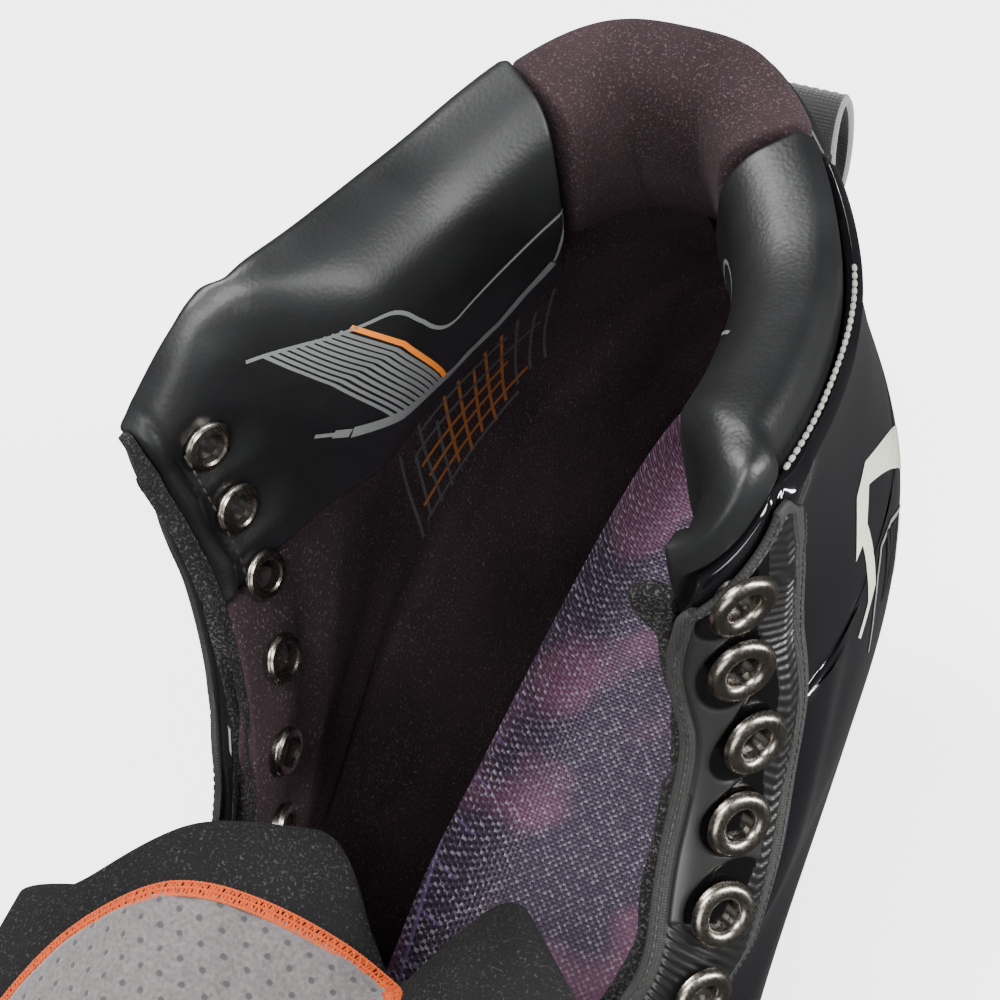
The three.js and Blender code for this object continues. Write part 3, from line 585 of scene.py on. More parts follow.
# Light rubbing on edges, broken up by noise.
def makeWearGroup():
    group, start, end = newGroup("edge wear",
                                 [("Vector", "NodeSocketVector", None), ("Amount", "NodeSocketFloat", 0.5)],
                                 [("Mask", "NodeSocketFloat"), ("Smudge", "NodeSocketFloat")])
    shape = addNode(group, "ShaderNodeNewGeometry")
    noise = addNode(group, "ShaderNodeTexNoise", None, Vector=start.outputs[0], Scale=160, Detail=5)
    smudge = addNode(group, "ShaderNodeTexNoise", None, Vector=start.outputs[0], Scale=22, Detail=4)
    edge = ramp(group, shape.outputs["Pointiness"], 0.53, 0.62)
    edge = doMath(group, "MULTIPLY", edge, ramp(group, noise.outputs[0], 0.4, 0.62))
    group.links.new(doMath(group, "MULTIPLY", edge, start.outputs[1]), end.inputs[0])
    group.links.new(ramp(group, smudge.outputs[0], 0.3, 0.75), end.inputs[1])
    return group


lintGroup, grainGroup = makeLintGroup(), makeGrainGroup()
weaveGroup, wearGroup = makeWeaveGroup(), makeWearGroup()


def place(tree, group, **inputs):
    node = tree.nodes.new("ShaderNodeGroup")
    node.node_tree = group
    for key, value in inputs.items():
        if isinstance(value, bpy.types.NodeSocket):
            tree.links.new(value, node.inputs[key])
        else:
            node.inputs[key].default_value = value
    return node


def newMaterial(name, colour, roughness, **sockets):
    material = bpy.data.materials.new(name)
    material.use_nodes = True
    material.diffuse_color = (*colour, 1)
    tree = material.node_tree
    shader = tree.nodes["Principled BSDF"]
    shader.inputs["Base Color"].default_value = (*colour, 1)
    shader.inputs["Roughness"].default_value = roughness
    for label, value in sockets.items():
        shader.inputs[label.replace("_", " ")].default_value = value
    where = tree.nodes.new("ShaderNodeTexCoord").outputs["Object"]
    return material, tree, shader, where


def connect(tree, shader, colour=None, rough=None, height=None, strength=0.3, distance=0.0004):
    if colour is not None:
        tree.links.new(colour, shader.inputs["Base Color"])
    if rough is not None:
        tree.links.new(rough, shader.inputs["Roughness"])
    if height is not None:
        bump = addNode(tree, "ShaderNodeBump", None, Height=height, Strength=strength, Distance=distance)
        tree.links.new(bump.outputs[0], shader.inputs["Normal"])


# The two coordinates of the piece's own pattern, in millimetres.
def patternParts(tree):
    uv = addNode(tree, "ShaderNodeUVMap", {"uv_map": "pattern"})
    parts = addNode(tree, "ShaderNodeSeparateXYZ", None, Vector=uv.outputs[0])
    return parts.outputs[0], parts.outputs[1]


# Moulded plastic or lacquered shell.
def moulded(name, colour, roughness, coat=0.0, worn=0.4, grain=0.15, scale=900, **sockets):
    material, tree, shader, where = newMaterial(name, colour, roughness, Coat_Weight=coat, **sockets)
    wear = place(tree, wearGroup, Vector=where, Amount=worn)
    texture = place(tree, grainGroup, Vector=where, Scale=scale, Slow=0.15)
    lighter = tuple(min(1, c * 1.6 + 0.05) for c in colour)
    connect(tree, shader, mixColour(tree, wear.outputs[0], colour, lighter),
            ramp(tree, wear.outputs[1], 0, 1, roughness * 0.8, roughness * 1.35), texture.outputs[0], grain)
    return material


# Felt or brushed fibre with flecks of light.
def pile(name, colour, fleck, scale=1500, share=0.4, depth=0.5, sheen=0.35, tint=None):
    material, tree, shader, where = newMaterial(name, colour, 0.95, Sheen_Weight=sheen, Sheen_Roughness=0.5,
                                                Specular_IOR_Level=0.2)
    shader.inputs["Sheen Tint"].default_value = (*(tint or fleck), 1)
    lint = place(tree, lintGroup, Vector=where, Scale=scale, Share=share)
    slow = addNode(tree, "ShaderNodeTexNoise", None, Vector=where, Scale=45, Detail=4)
    base = mixColour(tree, ramp(tree, slow.outputs[0], 0.3, 0.7), tuple(c * 0.65 for c in colour),
                     tuple(c * 1.35 for c in colour))
    connect(tree, shader, mixColour(tree, lint.outputs[0], base, fleck), None, lint.outputs[1], depth, 0.0005)
    return material


def brushedMetal(name, colour, roughness, scale=(400, 400, 40), metallic=1.0):
    material, tree, shader, where = newMaterial(name, colour, roughness, Metallic=metallic)
    stretched = addNode(tree, "ShaderNodeMapping", None, Vector=where, Scale=scale)
    lines = addNode(tree, "ShaderNodeTexNoise", None, Vector=stretched.outputs[0], Scale=6, Detail=5)
    wear = place(tree, wearGroup, Vector=where, Amount=0.6)
    darker = tuple(c * 0.72 for c in colour)
    connect(tree, shader, mixColour(tree, wear.outputs[1], darker, colour),
            ramp(tree, lines.outputs[0], 0.2, 0.8, roughness * 0.7, roughness * 1.4), lines.outputs[0], 0.05)
    return material


def leather(name, colour):
    material, tree, shader, where = newMaterial(name, colour, 0.42, Specular_IOR_Level=0.42)
    texture = place(tree, grainGroup, Vector=where, Scale=1500, Slow=0.5)
    connect(tree, shader, mixColour(tree, texture.outputs[1], tuple(c * 0.8 for c in colour),
                                    tuple(c * 1.25 for c in colour)),
            ramp(tree, texture.outputs[1], 0, 1, 0.38, 0.5), texture.outputs[0], 0.22, 0.0003)
    return material


# Open mesh with a metallic yarn over a dark print of blotches and thin ruled lines, with glints of light painted on
# the yarn as bright colour.
def footbedCloth():
    material, tree, shader, where = newMaterial("footbed cloth", (0.05, 0.035, 0.08), 0.45,
                                                Specular_IOR_Level=0.6)
    across, along = patternParts(tree)
    weave = place(tree, weaveGroup, Across=doMath(tree, "DIVIDE", across, 1.5),
                  Along=doMath(tree, "DIVIDE", along, 1.5))
    blotch = addNode(tree, "ShaderNodeTexNoise", None, Vector=where, Scale=32, Detail=1.5, Roughness=0.45)
    warm = ramp(tree, blotch.outputs[0], 0.5, 0.58)
    ground = mixColour(tree, warm, (0.04, 0.026, 0.052), (0.16, 0.06, 0.115))
    lines = 0.0
    for coordinate, pitch in ((across, 9.0), (along, 9.0)):
        share = doMath(tree, "FRACT", doMath(tree, "DIVIDE", coordinate, pitch))
        line = doMath(tree, "LESS_THAN", doMath(tree, "ABSOLUTE", doMath(tree, "SUBTRACT", share, 0.5)), 0.032)
        lines = doMath(tree, "MAXIMUM", line, lines)
    edge = doMath(tree, "GREATER_THAN", doMath(tree, "ABSOLUTE", across), 19)
    ground = mixColour(tree, doMath(tree, "MULTIPLY", doMath(tree, "MULTIPLY", lines, edge), 0.75), ground,
                       (0.22, 0.13, 0.34))
    glint = addNode(tree, "ShaderNodeTexNoise", None, Vector=where, Scale=900, Detail=2)
    # painted glints: sparse bright specks of light on the yarn that lies on top
    painted_glint = doMath(tree, "MULTIPLY", ramp(tree, glint.outputs[0], 0.5, 0.6), weave.outputs[1])
    # glints of light are painted on the metallic yarn as bright colour, strongest on the raised inner edge where the
    # light catches it
    raised = ramp(tree, doMath(tree, "MULTIPLY", across, -1), 12, 23, 0.3, 1.0)
    painted_glint = doMath(tree, "MULTIPLY", painted_glint, raised)
    colour = mixColour(tree, doMath(tree, "MULTIPLY", weave.outputs[1], 0.25), ground, (0.24, 0.19, 0.27))
    # painted glint colour, with a little metal and less roughness where it lies
    colour = mixColour(tree, doMath(tree, "MULTIPLY", painted_glint, 0.75), colour, (0.8, 0.75, 0.85))
    connect(tree, shader, colour, ramp(tree, painted_glint, 0, 1, 0.5, 0.22), weave.outputs[0], 0.55, 0.0004)
    tree.links.new(doMath(tree, "MULTIPLY", painted_glint, 0.3), shader.inputs["Metallic"])
    return material


# Brushed foam panel with small punched holes.
def comfortFoam():
    material, tree, shader, where = newMaterial("comfort foam", (0.3, 0.28, 0.29), 0.85, Sheen_Weight=0.3)
    across, along = patternParts(tree)
    row = doMath(tree, "DIVIDE", along, 3.2)
    shift = doMath(tree, "MULTIPLY", doMath(tree, "MODULO", doMath(tree, "FLOOR", row), 2), 0.5)
    cell = doMath(tree, "FRACT", doMath(tree, "ADD", doMath(tree, "DIVIDE", across, 3.2), shift))
    a = doMath(tree, "SUBTRACT", cell, 0.5)
    b = doMath(tree, "SUBTRACT", doMath(tree, "FRACT", row), 0.5)
    far = doMath(tree, "SQRT", doMath(tree, "ADD", doMath(tree, "MULTIPLY", a, a), doMath(tree, "MULTIPLY", b, b)))
    solid = ramp(tree, far, 0.1, 0.17)
    fine = addNode(tree, "ShaderNodeTexNoise", None, Vector=where, Scale=1400, Detail=4)
    base = mixColour(tree, ramp(tree, fine.outputs[0], 0.3, 0.7), (0.06, 0.052, 0.053), (0.112, 0.1, 0.101))
    height = doMath(tree, "ADD", solid, doMath(tree, "MULTIPLY", fine.outputs[0], 0.25))
    connect(tree, shader, mixColour(tree, solid, (0.03, 0.028, 0.03), base), None, height, 0.6, 0.0005)
    return material


# Satin plates, blacker in the grooves, woven along the sewn border: read from tone.
def facingRubber():
    material, tree, shader, where = newMaterial("facing rubber", (0.05, 0.05, 0.05), 0.4, Specular_IOR_Level=0.55)
    tone = addNode(tree, "ShaderNodeAttribute", {"attribute_name": "tone"}).outputs["Fac"]
    across, along = patternParts(tree)
    weave = place(tree, weaveGroup, Across=doMath(tree, "DIVIDE", across, 0.9),
                  Along=doMath(tree, "DIVIDE", along, 0.9))
    fine = addNode(tree, "ShaderNodeTexNoise", None, Vector=where, Scale=1500, Detail=3)
    border = doMath(tree, "GREATER_THAN", tone, 0.85)
    ground = mixColour(tree, ramp(tree, tone, 0.15, 0.45), (0.002, 0.002, 0.002), (0.012, 0.012, 0.0118))
    cloth = mixColour(tree, doMath(tree, "MULTIPLY", weave.outputs[0], fine.outputs[0]), (0.004, 0.004, 0.004),
                      (0.035, 0.034, 0.032))
    ribs = doMath(tree, "MULTIPLY", doMath(tree, "GREATER_THAN", tone, 0.6), doMath(tree, "LESS_THAN", tone, 0.85))
    ground = mixColour(tree, ribs, ground, (0.006, 0.006, 0.006))
    rough = addNode(tree, "ShaderNodeMix", None, i0=border, i2=ramp(tree, tone, 0.15, 0.45, 0.16, 0.36), i3=0.8)
    height = doMath(tree, "ADD", doMath(tree, "MULTIPLY", doMath(tree, "MULTIPLY", weave.outputs[0], border), 0.7),
                    doMath(tree, "MULTIPLY", fine.outputs[0], 0.12))
    connect(tree, shader, mixColour(tree, border, ground, cloth), rough.outputs[0], height, 0.4, 0.0003)
    return material


def webbingCloth(name, colour, edge):
    material, tree, shader, where = newMaterial(name, colour, 0.8, Sheen_Weight=0.2)
    across, along = patternParts(tree)
    weave = place(tree, weaveGroup, Across=doMath(tree, "DIVIDE", across, 1.6),
                  Along=doMath(tree, "DIVIDE", along, 1.1))
    rim = doMath(tree, "GREATER_THAN", doMath(tree, "ABSOLUTE", across), 7.9)
    base = mixColour(tree, weave.outputs[0], tuple(c * 0.5 for c in colour), tuple(c * 1.8 for c in colour))
    connect(tree, shader, mixColour(tree, rim, base, edge), None, weave.outputs[0], 0.5, 0.0004)
    return material


shellBlack = moulded("shell black", (0.004, 0.004, 0.005), 0.08, coat=0.8, worn=0.12, grain=0.015, scale=300)
capBlack = moulded("cap black", (0.008, 0.008, 0.009), 0.22, coat=0.2, worn=0.2, grain=0.04)
guardBlack = moulded("guard black", (0.01, 0.01, 0.011), 0.3, worn=0.25, grain=0.08)
soleBlack = moulded("sole composite", (0.018, 0.018, 0.019), 0.4, worn=0.5, grain=0.2, scale=500)
boardBrown = moulded("fibre board", (0.11, 0.09, 0.07), 0.8, worn=0.1, grain=0.3, scale=700)
holderWhite = moulded("holder nylon", (0.5, 0.51, 0.51), 0.3, worn=0.1, grain=0.08, scale=500,
                      Subsurface_Weight=0.05)
feltBlack = pile("felt black", (0.0055, 0.0055, 0.0057), (0.045, 0.045, 0.044), 1900, 0.5, 0.8, 0.035)
bindingFelt = pile("binding felt", (0.008, 0.008, 0.008), (0.06, 0.058, 0.056), 2000, 0.7, 0.8, 0.03)
linerPile = pile("liner pile", (0.021, 0.0125, 0.015), (0.12, 0.085, 0.09), 1700, 0.4, 0.6, 0.08)
collarPile = pile("collar pile", (0.02, 0.0115, 0.0135), (0.075, 0.05, 0.055), 2400, 0.5, 0.5, 0.14)
padBlack = leather("pad leather", (0.0065, 0.0068, 0.0072))
pewter = brushedMetal("pewter", (0.33, 0.3, 0.26), 0.27)
fastenerSteel = brushedMetal("fastener steel", (0.55, 0.55, 0.56), 0.3, metallic=0.75)
bladeSteel = brushedMetal("blade steel", (0.52, 0.53, 0.55), 0.24, (30, 300, 900), 0.55)
printGrey = moulded("print grey", (0.12, 0.125, 0.125), 0.45, worn=0.3, grain=0.1, scale=1500)
printOrange = moulded("print orange", (0.66, 0.17, 0.012), 0.45, worn=0.1, grain=0.1, scale=1500)
inkGrey = moulded("ink grey", (0.05, 0.048, 0.052), 0.8, worn=0.5, grain=0.6, scale=1800)
inkOrange = moulded("ink orange", (0.24, 0.075, 0.012), 0.8, worn=0.5, grain=0.6, scale=1800)
printPale = moulded("print pale", (0.52, 0.53, 0.44), 0.25, coat=0.5, worn=0.1, grain=0.03)
threadBlack = moulded("thread black", (0.012, 0.012, 0.012), 0.6, worn=0.3, grain=0.5, scale=3000)
threadPale = moulded("thread pale", (0.22, 0.22, 0.2), 0.35, worn=0.3, grain=0.4, scale=3000)
threadOrange = moulded("thread orange", (0.4, 0.048, 0.0), 0.7, worn=0.02, grain=0.4, scale=3000)
facingBlack, footbedWeave, foamGrey = facingRubber(), footbedCloth(), comfortFoam()
webbingBlack = webbingCloth("webbing black", (0.005, 0.005, 0.005), (0.12, 0.12, 0.11))
print("materials made")


# Floor, light and camera.
studio = {
    "cameraPlace": (0.0892, -0.0960, 0.4468), "right": (0.908, 0.395, -0.138), "up": (-0.277, 0.813, 0.512),
    "back": (0.314, -0.427, 0.848), "lens": 70.5, "floorSize": 8.0, "world": 1.0, "glossyWorld": 0.09,
}


def makeFloor():
    deselectAll()
    bpy.ops.mesh.primitive_plane_add(size=studio["floorSize"], location=(0, 0, -0.0002))
    floor = bpy.context.object
    floor.name = "studio_floor"
    material, tree, shader, where = newMaterial("studio floor", (0.93, 0.93, 0.93), 0.9)
    shader.inputs["Emission Color"].default_value = (1, 1, 1, 1)
    shader.inputs["Emission Strength"].default_value = 1.5
    speckle = addNode(tree, "ShaderNodeTexNoise", None, Vector=where, Scale=30)
    connect(tree, shader, mixColour(tree, speckle.outputs[0], (0.92, 0.92, 0.92), (0.94, 0.94, 0.94)))
    floor.data.materials.append(material)
    floor.visible_glossy = False
    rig.stage(floor)


def makeLight(name, place, target, size, power):
    data = bpy.data.lights.new(name, "AREA")
    data.shape, data.size, data.size_y, data.energy = "RECTANGLE", size[0], size[1], power
    light = bpy.data.objects.new(name, data)
    bpy.context.scene.collection.objects.link(light)
    light.location = place
    light.rotation_euler = (Vector(target) - Vector(place)).to_track_quat("-Z", "Y").to_euler()


def makeStage():
    makeFloor()
    world = bpy.data.worlds.new("studio")
    bpy.context.scene.world = world
    world.use_nodes = True
    background = world.node_tree.nodes["Background"]
    background.inputs[0].default_value = (1, 1, 1, 1)
    background.inputs[1].default_value = studio["world"]
    # mirror-like faces see a dim room, with the lamps as streaks in it
    tree = world.node_tree
    path = addNode(tree, "ShaderNodeLightPath")
    level = addNode(tree, "ShaderNodeMix", None, i0=path.outputs["Is Glossy Ray"], i2=studio["world"],
                    i3=studio["glossyWorld"])
    tree.links.new(level.outputs[0], background.inputs[1])
    middle = (0, 0, 0.15)
    makeLight("key", (-0.55, 0.25, 0.95), middle, (0.5, 0.35), 14)
    makeLight("strip right", (0.75, 0.2, 0.5), middle, (0.07, 0.9), 15)
    makeLight("front fill", (0.25, -0.8, 0.6), middle, (0.5, 0.5), 5)
    makeLight("inside", (0.02, -0.22, 0.95), (0, 0.05, 0.1), (0.35, 0.35), 9)
    data = bpy.data.cameras.new("camera")
    data.lens, data.sensor_width = studio["lens"], 36
    data.clip_start, data.clip_end = 0.01, 50
    camera = bpy.data.objects.new("camera", data)
    bpy.context.scene.collection.objects.link(camera)
    axes = [Vector(studio[key]).normalized() for key in ("right", "up", "back")]
    turned = Matrix((axes[0], axes[1], axes[2])).transposed().to_4x4()
    camera.matrix_world = Matrix.Translation(studio["cameraPlace"]) @ turned
    bpy.context.scene.camera = camera


makeStage()
print("stage made")


# Lines on the boot's surface.
eyeletCurveHeights = np.linspace(157, boot["facingFoot"] - 3, 420)


# Walks square to the eyelet line over the surface: where each reach (mm, + is rearwards) arrives.
def acrossStrip(side, reaches, heights=eyeletCurveHeights):
    count = len(heights)
    line = onBoot(side, np.zeros(count), heights)
    ahead = np.gradient(line, axis=0)
    ahead /= np.linalg.norm(ahead, axis=1, keepdims=True)
    found = {0.0: (np.zeros(count), heights.copy())}
    for sign in (1, -1):
        walked, height = np.zeros(count), heights.copy()
        at = 0.0
        furthest = max([sign * reach for reach in reaches] + [0])
        while at < furthest - 1e-6:
            step = 0.5
            here = onBoot(side, walked, height)
            alongRing = (onBoot(side, walked + 0.5, height) - here) / 0.5
            upward = (onBoot(side, walked, np.maximum(height - 0.5, 0)) - here) / -0.5
            normal = skinNormal(toTurn(side, aroundAt(side, walked, height)), height)
            goal = np.cross(ahead, normal)
            goal /= np.linalg.norm(goal, axis=1, keepdims=True)
            goal *= np.sign((goal * alongRing).sum(1, keepdims=True)) * sign * step
            aa, ab, bb = (alongRing ** 2).sum(1), (alongRing * upward).sum(1), (upward ** 2).sum(1)
            ga, gb = (goal * alongRing).sum(1), (goal * upward).sum(1)
            det = aa * bb - ab ** 2 + 1e-6
            walked = walked + (ga * bb - gb * ab) / det
            height = np.clip(height + (gb * aa - ga * ab) / det, 40, 166)
            at += step
            found[round(sign * at, 3)] = (walked.copy(), height.copy())
    return found


strips = {side: acrossStrip(side, (-16, 16)) for side in ("lateral", "medial")}


# How far behind the eyelet line the boot's front edge lies, at each height.
def edgeLine(side, across, height):
    walked, heights = strips[side][round(across * 2) / 2]
    order = np.argsort(heights)
    front = np.interp(height, heights[order], walked[order])
    seam = seamWalk(side, height)
    return np.where(height < 52, seam, np.maximum(front, seam))


# The toe cap's seam at each height, as a walked distance.
def seamTable(side):
    front = follow(last["front"], ringHeights)
    if side == "medial":
        front = front - boot["medialLead"] * ease(ringHeights, 66, 86)
    back = follow(last["back"], ringHeights)
    along = np.clip((boot["capSeam"] + boot["gap"] - front) / (back - front), 0.0005, 1)
    around = np.arccos(1 - 2 * along) / math.pi
    return [np.interp(a, rings[side][0][k], walkRange) for k, a in enumerate(around)]


seams = {side: seamTable(side) for side in ("lateral", "medial")}


def seamWalk(side, height):
    return np.interp(height, ringHeights, seams[side])


def collarLift(walked):
    return 8 * (1 - ease(walked, 6, 58))


liningTop = boot["shellWall"] + boot["gap"]


# Thin where the eyelets clamp it, and full behind them.
def liningDepth(walked, full):
    return liningTop + mix(boot["liningWall"], full, ease(walked, 6, 26))


# Each eyelet's height, place and axis, found from its node.
def eyeletSpots(side):
    spots = []
    for number in range(1, boot["eyeletCount"] + 1):
        node = nodes[f"eyelet_{side}_{number:02d}"]
        low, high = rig.box(node.name)
        middle = np.array((low + high) / 2) / mm
        heights = np.linspace(50, 150, 2001)
        near = onBoot(side, np.zeros(2001), heights, 2.0)
        height = heights[np.argmin(np.linalg.norm(near - middle, axis=1))]
        spots.append(height)
    return np.array(spots)


eyeletHeights = {side: eyeletSpots(side) for side in ("lateral", "medial")}


# 1 at an eyelet's axis to 0 a radius away.
def nearEyelets(side, points, radius):
    share = np.zeros(points.shape[:-1])
    for height in eyeletHeights[side]:
        centre = onBoot(side, 0.0, height, 3.0)
        far = np.linalg.norm(points - centre, axis=-1)
        share = np.maximum(share, 1 - ease(far, radius * 0.35, radius))
    return share


# Shell.
shellLook = {"ridge": 1.1, "ridgeWidth": 6.5, "columns": 190, "rows": 120, "rim": 1.2}


# Above the first eyelet the front corner is cut back at a slant.
def cornerLine(height):
    return np.interp(height, [128, 137, 150, 157, 160], [-30, -9.6, -5.0, 7.0, 14.0])


def quarterTop(walked):
    return boot["shellTop"] + collarLift(walked) * 0.98


def makeQuarter(side):
    s, r = np.meshgrid(clustered(shellLook["columns"]), clustered(shellLook["rows"], 0.35))
    height = r * boot["shellTop"]
    for _ in range(2):
        start = np.maximum(edgeLine(side, -9.5, height), cornerLine(height) + 0.6)
        walked = mix(start, heelWalk(side, height) - 0.25, s)
        height = r * quarterTop(walked)
    turn = toTurn(side, aroundAt(side, walked, height))
    keepOut = ease(height, boot["padFoot"] - 1.5, boot["padFoot"] - 0.3)
    guardStart = toTurn(side, boot["guardTurn"])
    stop = guardStart + (-0.004 if side == "lateral" else 0.004)
    # above the tendon guard's foot the quarter ends at the guard's edge
    share = np.clip((s - s[:, :1]) / (1 - s[:, :1]), 0, 1)
    first = turn[:, :1]
    upper = mix(first, stop, share)
    turn = mix(turn, upper, keepOut)
    ridge = shellLook["ridge"] * np.exp(-((walked - 21) / shellLook["ridgeWidth"]) ** 2) * ease(height, 40, 80)
    groove = 0.5 * np.exp(-((walked - 13) / 1.3) ** 2) * ease(height, 60, 75)
    outer = -ridge + groove
    piece = layerPiece(f"quarter_shell_{side}", turn, height, outer, np.full(turn.shape, boot["shellWall"]),
                       (0.8, 0.5, 1, shellLook["rim"]), (walked, height))
    return finishPiece(piece, shellBlack, "shell", "boot", [f"quarter_{side}"], 50)


def makeGuard():
    s, r = np.meshgrid(np.linspace(0, 1, 90), clustered(40))
    start = boot["guardTurn"] + 0.004
    turn = mix(start, 2 - start, s)
    height = mix(boot["padFoot"] + boot["gap"], boot["shellTop"] + 3 * np.sin(math.pi * s) ** 2, r)
    crease = 0.7 * np.exp(-((r - 0.25) / 0.03) ** 2) + 0.7 * np.exp(-((r - 0.33) / 0.03) ** 2)
    outer = crease * np.sin(math.pi * s) - 0.6 * np.sin(math.pi * s)
    piece = layerPiece("tendon_guard_outer", turn, height, outer, np.full(turn.shape, boot["shellWall"]),
                       (1, 1, 1, 1.2), (s * 80, height))
    return finishPiece(piece, guardBlack, "shell", "tendon_guard", ["tendon_guard_shell"], 50)


def makeCap(name, outerDepth, innerDepth, gap, material, slotName, node):
    s, r = np.meshgrid(np.linspace(0, 1, 121), clustered(64, 0.4))
    height = 57 * (1 - (1 - r) ** 2)
    front, back = follow(last["front"], height), follow(last["back"], height)
    along = np.clip((boot["capSeam"] - gap - front) / (back - front), 0, 1)
    reach = np.arccos(1 - 2 * along) / math.pi
    outer = s <= 0.5
    around = np.maximum(reach * np.abs(1 - 2 * s), 0.0001)
    turn = np.where(outer, around, 2 - around)
    lip = 0.8 * ease(r, 0.55, 0.62) * (1 - ease(r, 0.9, 1)) if outerDepth == 0 else 0
    piece = layerPiece(name, turn, height, outerDepth - lip * np.ones(turn.shape),
                       np.full(turn.shape, float(innerDepth)), (0.9, 0.9, 1, 1), (s * 200, height))
    return finishPiece(piece, material, slotName, "boot", [node], 50)


def makeCounter():
    s, r = np.meshgrid(clustered(110, 0.4), clustered(40, 0.4))
    across = 2 * s - 1
    height = mix(2, 50 - 14 * across ** 2, r)
    outer = np.full(s.shape, -2.5) - 0.5 * ease(r, 0.12, 0.2) * (1 - ease(r, 0.8, 0.88))
    piece = layerPiece("heel_counter_cup", 1 + 0.32 * across, height, outer, np.full(s.shape, -0.72),
                       (1.1, 1.1, 1.1, 1.1), (across * 100, height))
    return finishPiece(piece, capBlack, "shell", "boot", ["heel_counter"], 50)


for side in ("lateral", "medial"):
    makeQuarter(side)
makeGuard()
makeCap("toe_cap_shell", 0, 3, 0.0, capBlack, "shell", "toe_cap")
makeCounter()
print("shell made")


# Facings, with ribs, satin plates and a sewn border.
facingLook = {"border": 2.6, "ribPitch": 1.75, "ribHeight": 0.32, "ribStart": 4.6, "groove": 0.45,
              "rows": 400, "columns": 66}


def makeFacing(side):
    strip = strips[side]
    reaches = np.array(sorted(reach for reach in strip if -10 <= reach <= 14))
    walkedAll = np.stack([strip[reach][0] for reach in reaches], 1)
    heightAll = np.stack([strip[reach][1] for reach in reaches], 1)
    rows = np.linspace(0, len(walkedAll) - 1, facingLook["rows"])
    share = np.linspace(0, 1, facingLook["columns"])
    line = onBoot(side, np.zeros(len(walkedAll)), eyeletCurveHeights)
    length = np.concatenate([[0], np.cumsum(np.linalg.norm(np.diff(line, axis=0), axis=1))])
    along = np.interp(rows, np.arange(len(length)), length)
    firstEyelet = np.interp(-eyeletHeights[side][0], -eyeletCurveHeights, length)
    # the rear border widens towards the top, and the top is cut at a slant
    rear = mix(11.0, 14.0, 1 - ease(along, 6, 60))
    front = -10.0 + 15.5 * (1 - ease(along, 0, 16)) + 2.6 * (1 - ease(along, 8, 34))
    across = mix(front[:, None], rear[:, None], share[None, :])
    i = np.clip(np.searchsorted(reaches, across) - 1, 0, len(reaches) - 2)
    t = (across - reaches[i]) / (reaches[i + 1] - reaches[i])
    low = np.floor(rows).astype(int)
    high = np.minimum(low + 1, len(walkedAll) - 1)
    part = (rows - low)[:, None]

    def pick(table):
        a = mix(table[low[:, None], i], table[low[:, None], i + 1], t)
        b = mix(table[high[:, None], i], table[high[:, None], i + 1], t)
        return mix(a, b, part)

    walked, height = pick(walkedAll), pick(heightAll)
    along = along[:, None] + 0 * across
    # the top edge slants down towards the rear
    slant = 7.0 * ease(share, 0.35, 1)[None, :]
    drop = slant * (1 - ease(along, 0, 34))
    height = height - drop * 0.9
    fromTop = along - along[:1]
    total = along[-1, 0]
    sideNear = np.minimum(across - front[:, None], rear[:, None] - across)
    edgeNear = np.minimum(sideNear, np.minimum(fromTop, total - along))
    border = edgeNear < facingLook["border"]
    ribZone = ((across > facingLook["ribStart"] + 1.2 * np.sin(along * 0.23)) | (along < firstEyelet - 8.5)
               | (along > firstEyelet + 62)) & ~border
    chevron = np.abs(across - (rear[:, None] - 4.6)) * 0.55
    phase = (along + chevron) / facingLook["ribPitch"]
    rib = 0.5 + 0.5 * np.cos(2 * math.pi * phase)
    turn = toTurn(side, aroundAt(side, walked, height))
    points = wall(turn, height, -1.0)
    leaf = np.zeros(across.shape)
    for number, eyeletHeight in enumerate(eyeletHeights[side]):
        place_ = np.interp(-eyeletHeight, -eyeletCurveHeights, length)
        a, b = along - place_, across
        lean = math.radians(32)
        u = (a + 1.5) * math.cos(lean) - (b - 1.0) * math.sin(lean)
        v = (a + 1.5) * math.sin(lean) + (b - 1.0) * math.cos(lean)
        long_, short = (10.5, 5.6) if number < 3 else (8.2, 6.2)
        leaf = np.maximum(leaf, 1 - ease(np.hypot(u / long_, v / short), 0.88, 1.0))
    tone = np.where(border, 1.0, np.where(ribZone, 0.7, mix(0.5, 0.05, leaf)))
    lift = np.where(border, 0.15 * np.sin(np.clip(edgeNear / facingLook["border"], 0, 1) * math.pi),
                    np.where(ribZone, facingLook["ribHeight"] * rib - 0.25, 0.25 - facingLook["groove"] * leaf))
    seam = np.exp(-((edgeNear - facingLook["border"]) / 0.28) ** 2)
    outer = -(boot["gap"] + boot["facingWall"]) - lift + 0.3 * seam
    piece = layerPiece(f"facing_strip_{side}", turn, height, outer, np.full(turn.shape, -boot["gap"]),
                       (0.7, 0.7, 0.7, 0.7), (across, along))
    setTone(piece, np.concatenate([tone.ravel(), tone.ravel()]))
    finishPiece(piece, facingBlack, "facing", "boot", [f"facing_{side}"], 50)
    inset = []
    for column, reach in ((4, 0), (-5, 0)):
        inset.append(wall(turn[6:-6, column], height[6:-6, column], -1.85))
    starts, ends = [], []
    for row in inset:
        spots = evenly(row, 1.5)
        starts += list(spots[:-1])
        ends += list(mix(spots[:-1], spots[1:], 0.62))
    stitch = threads(f"facing_stitches_{side}", starts, ends, 0.2)
    finishPiece(stitch, threadBlack, "facing", "boot")


for side in ("lateral", "medial"):
    makeFacing(side)
print("facings made")


# Eyelets: one is turned about its axis, then copied to each place.
eyeletLook = {"bore": 2.5, "flange": 5.5, "dome": 1.35, "roll": 4.3, "barrel": 3.2, "segments": 40}


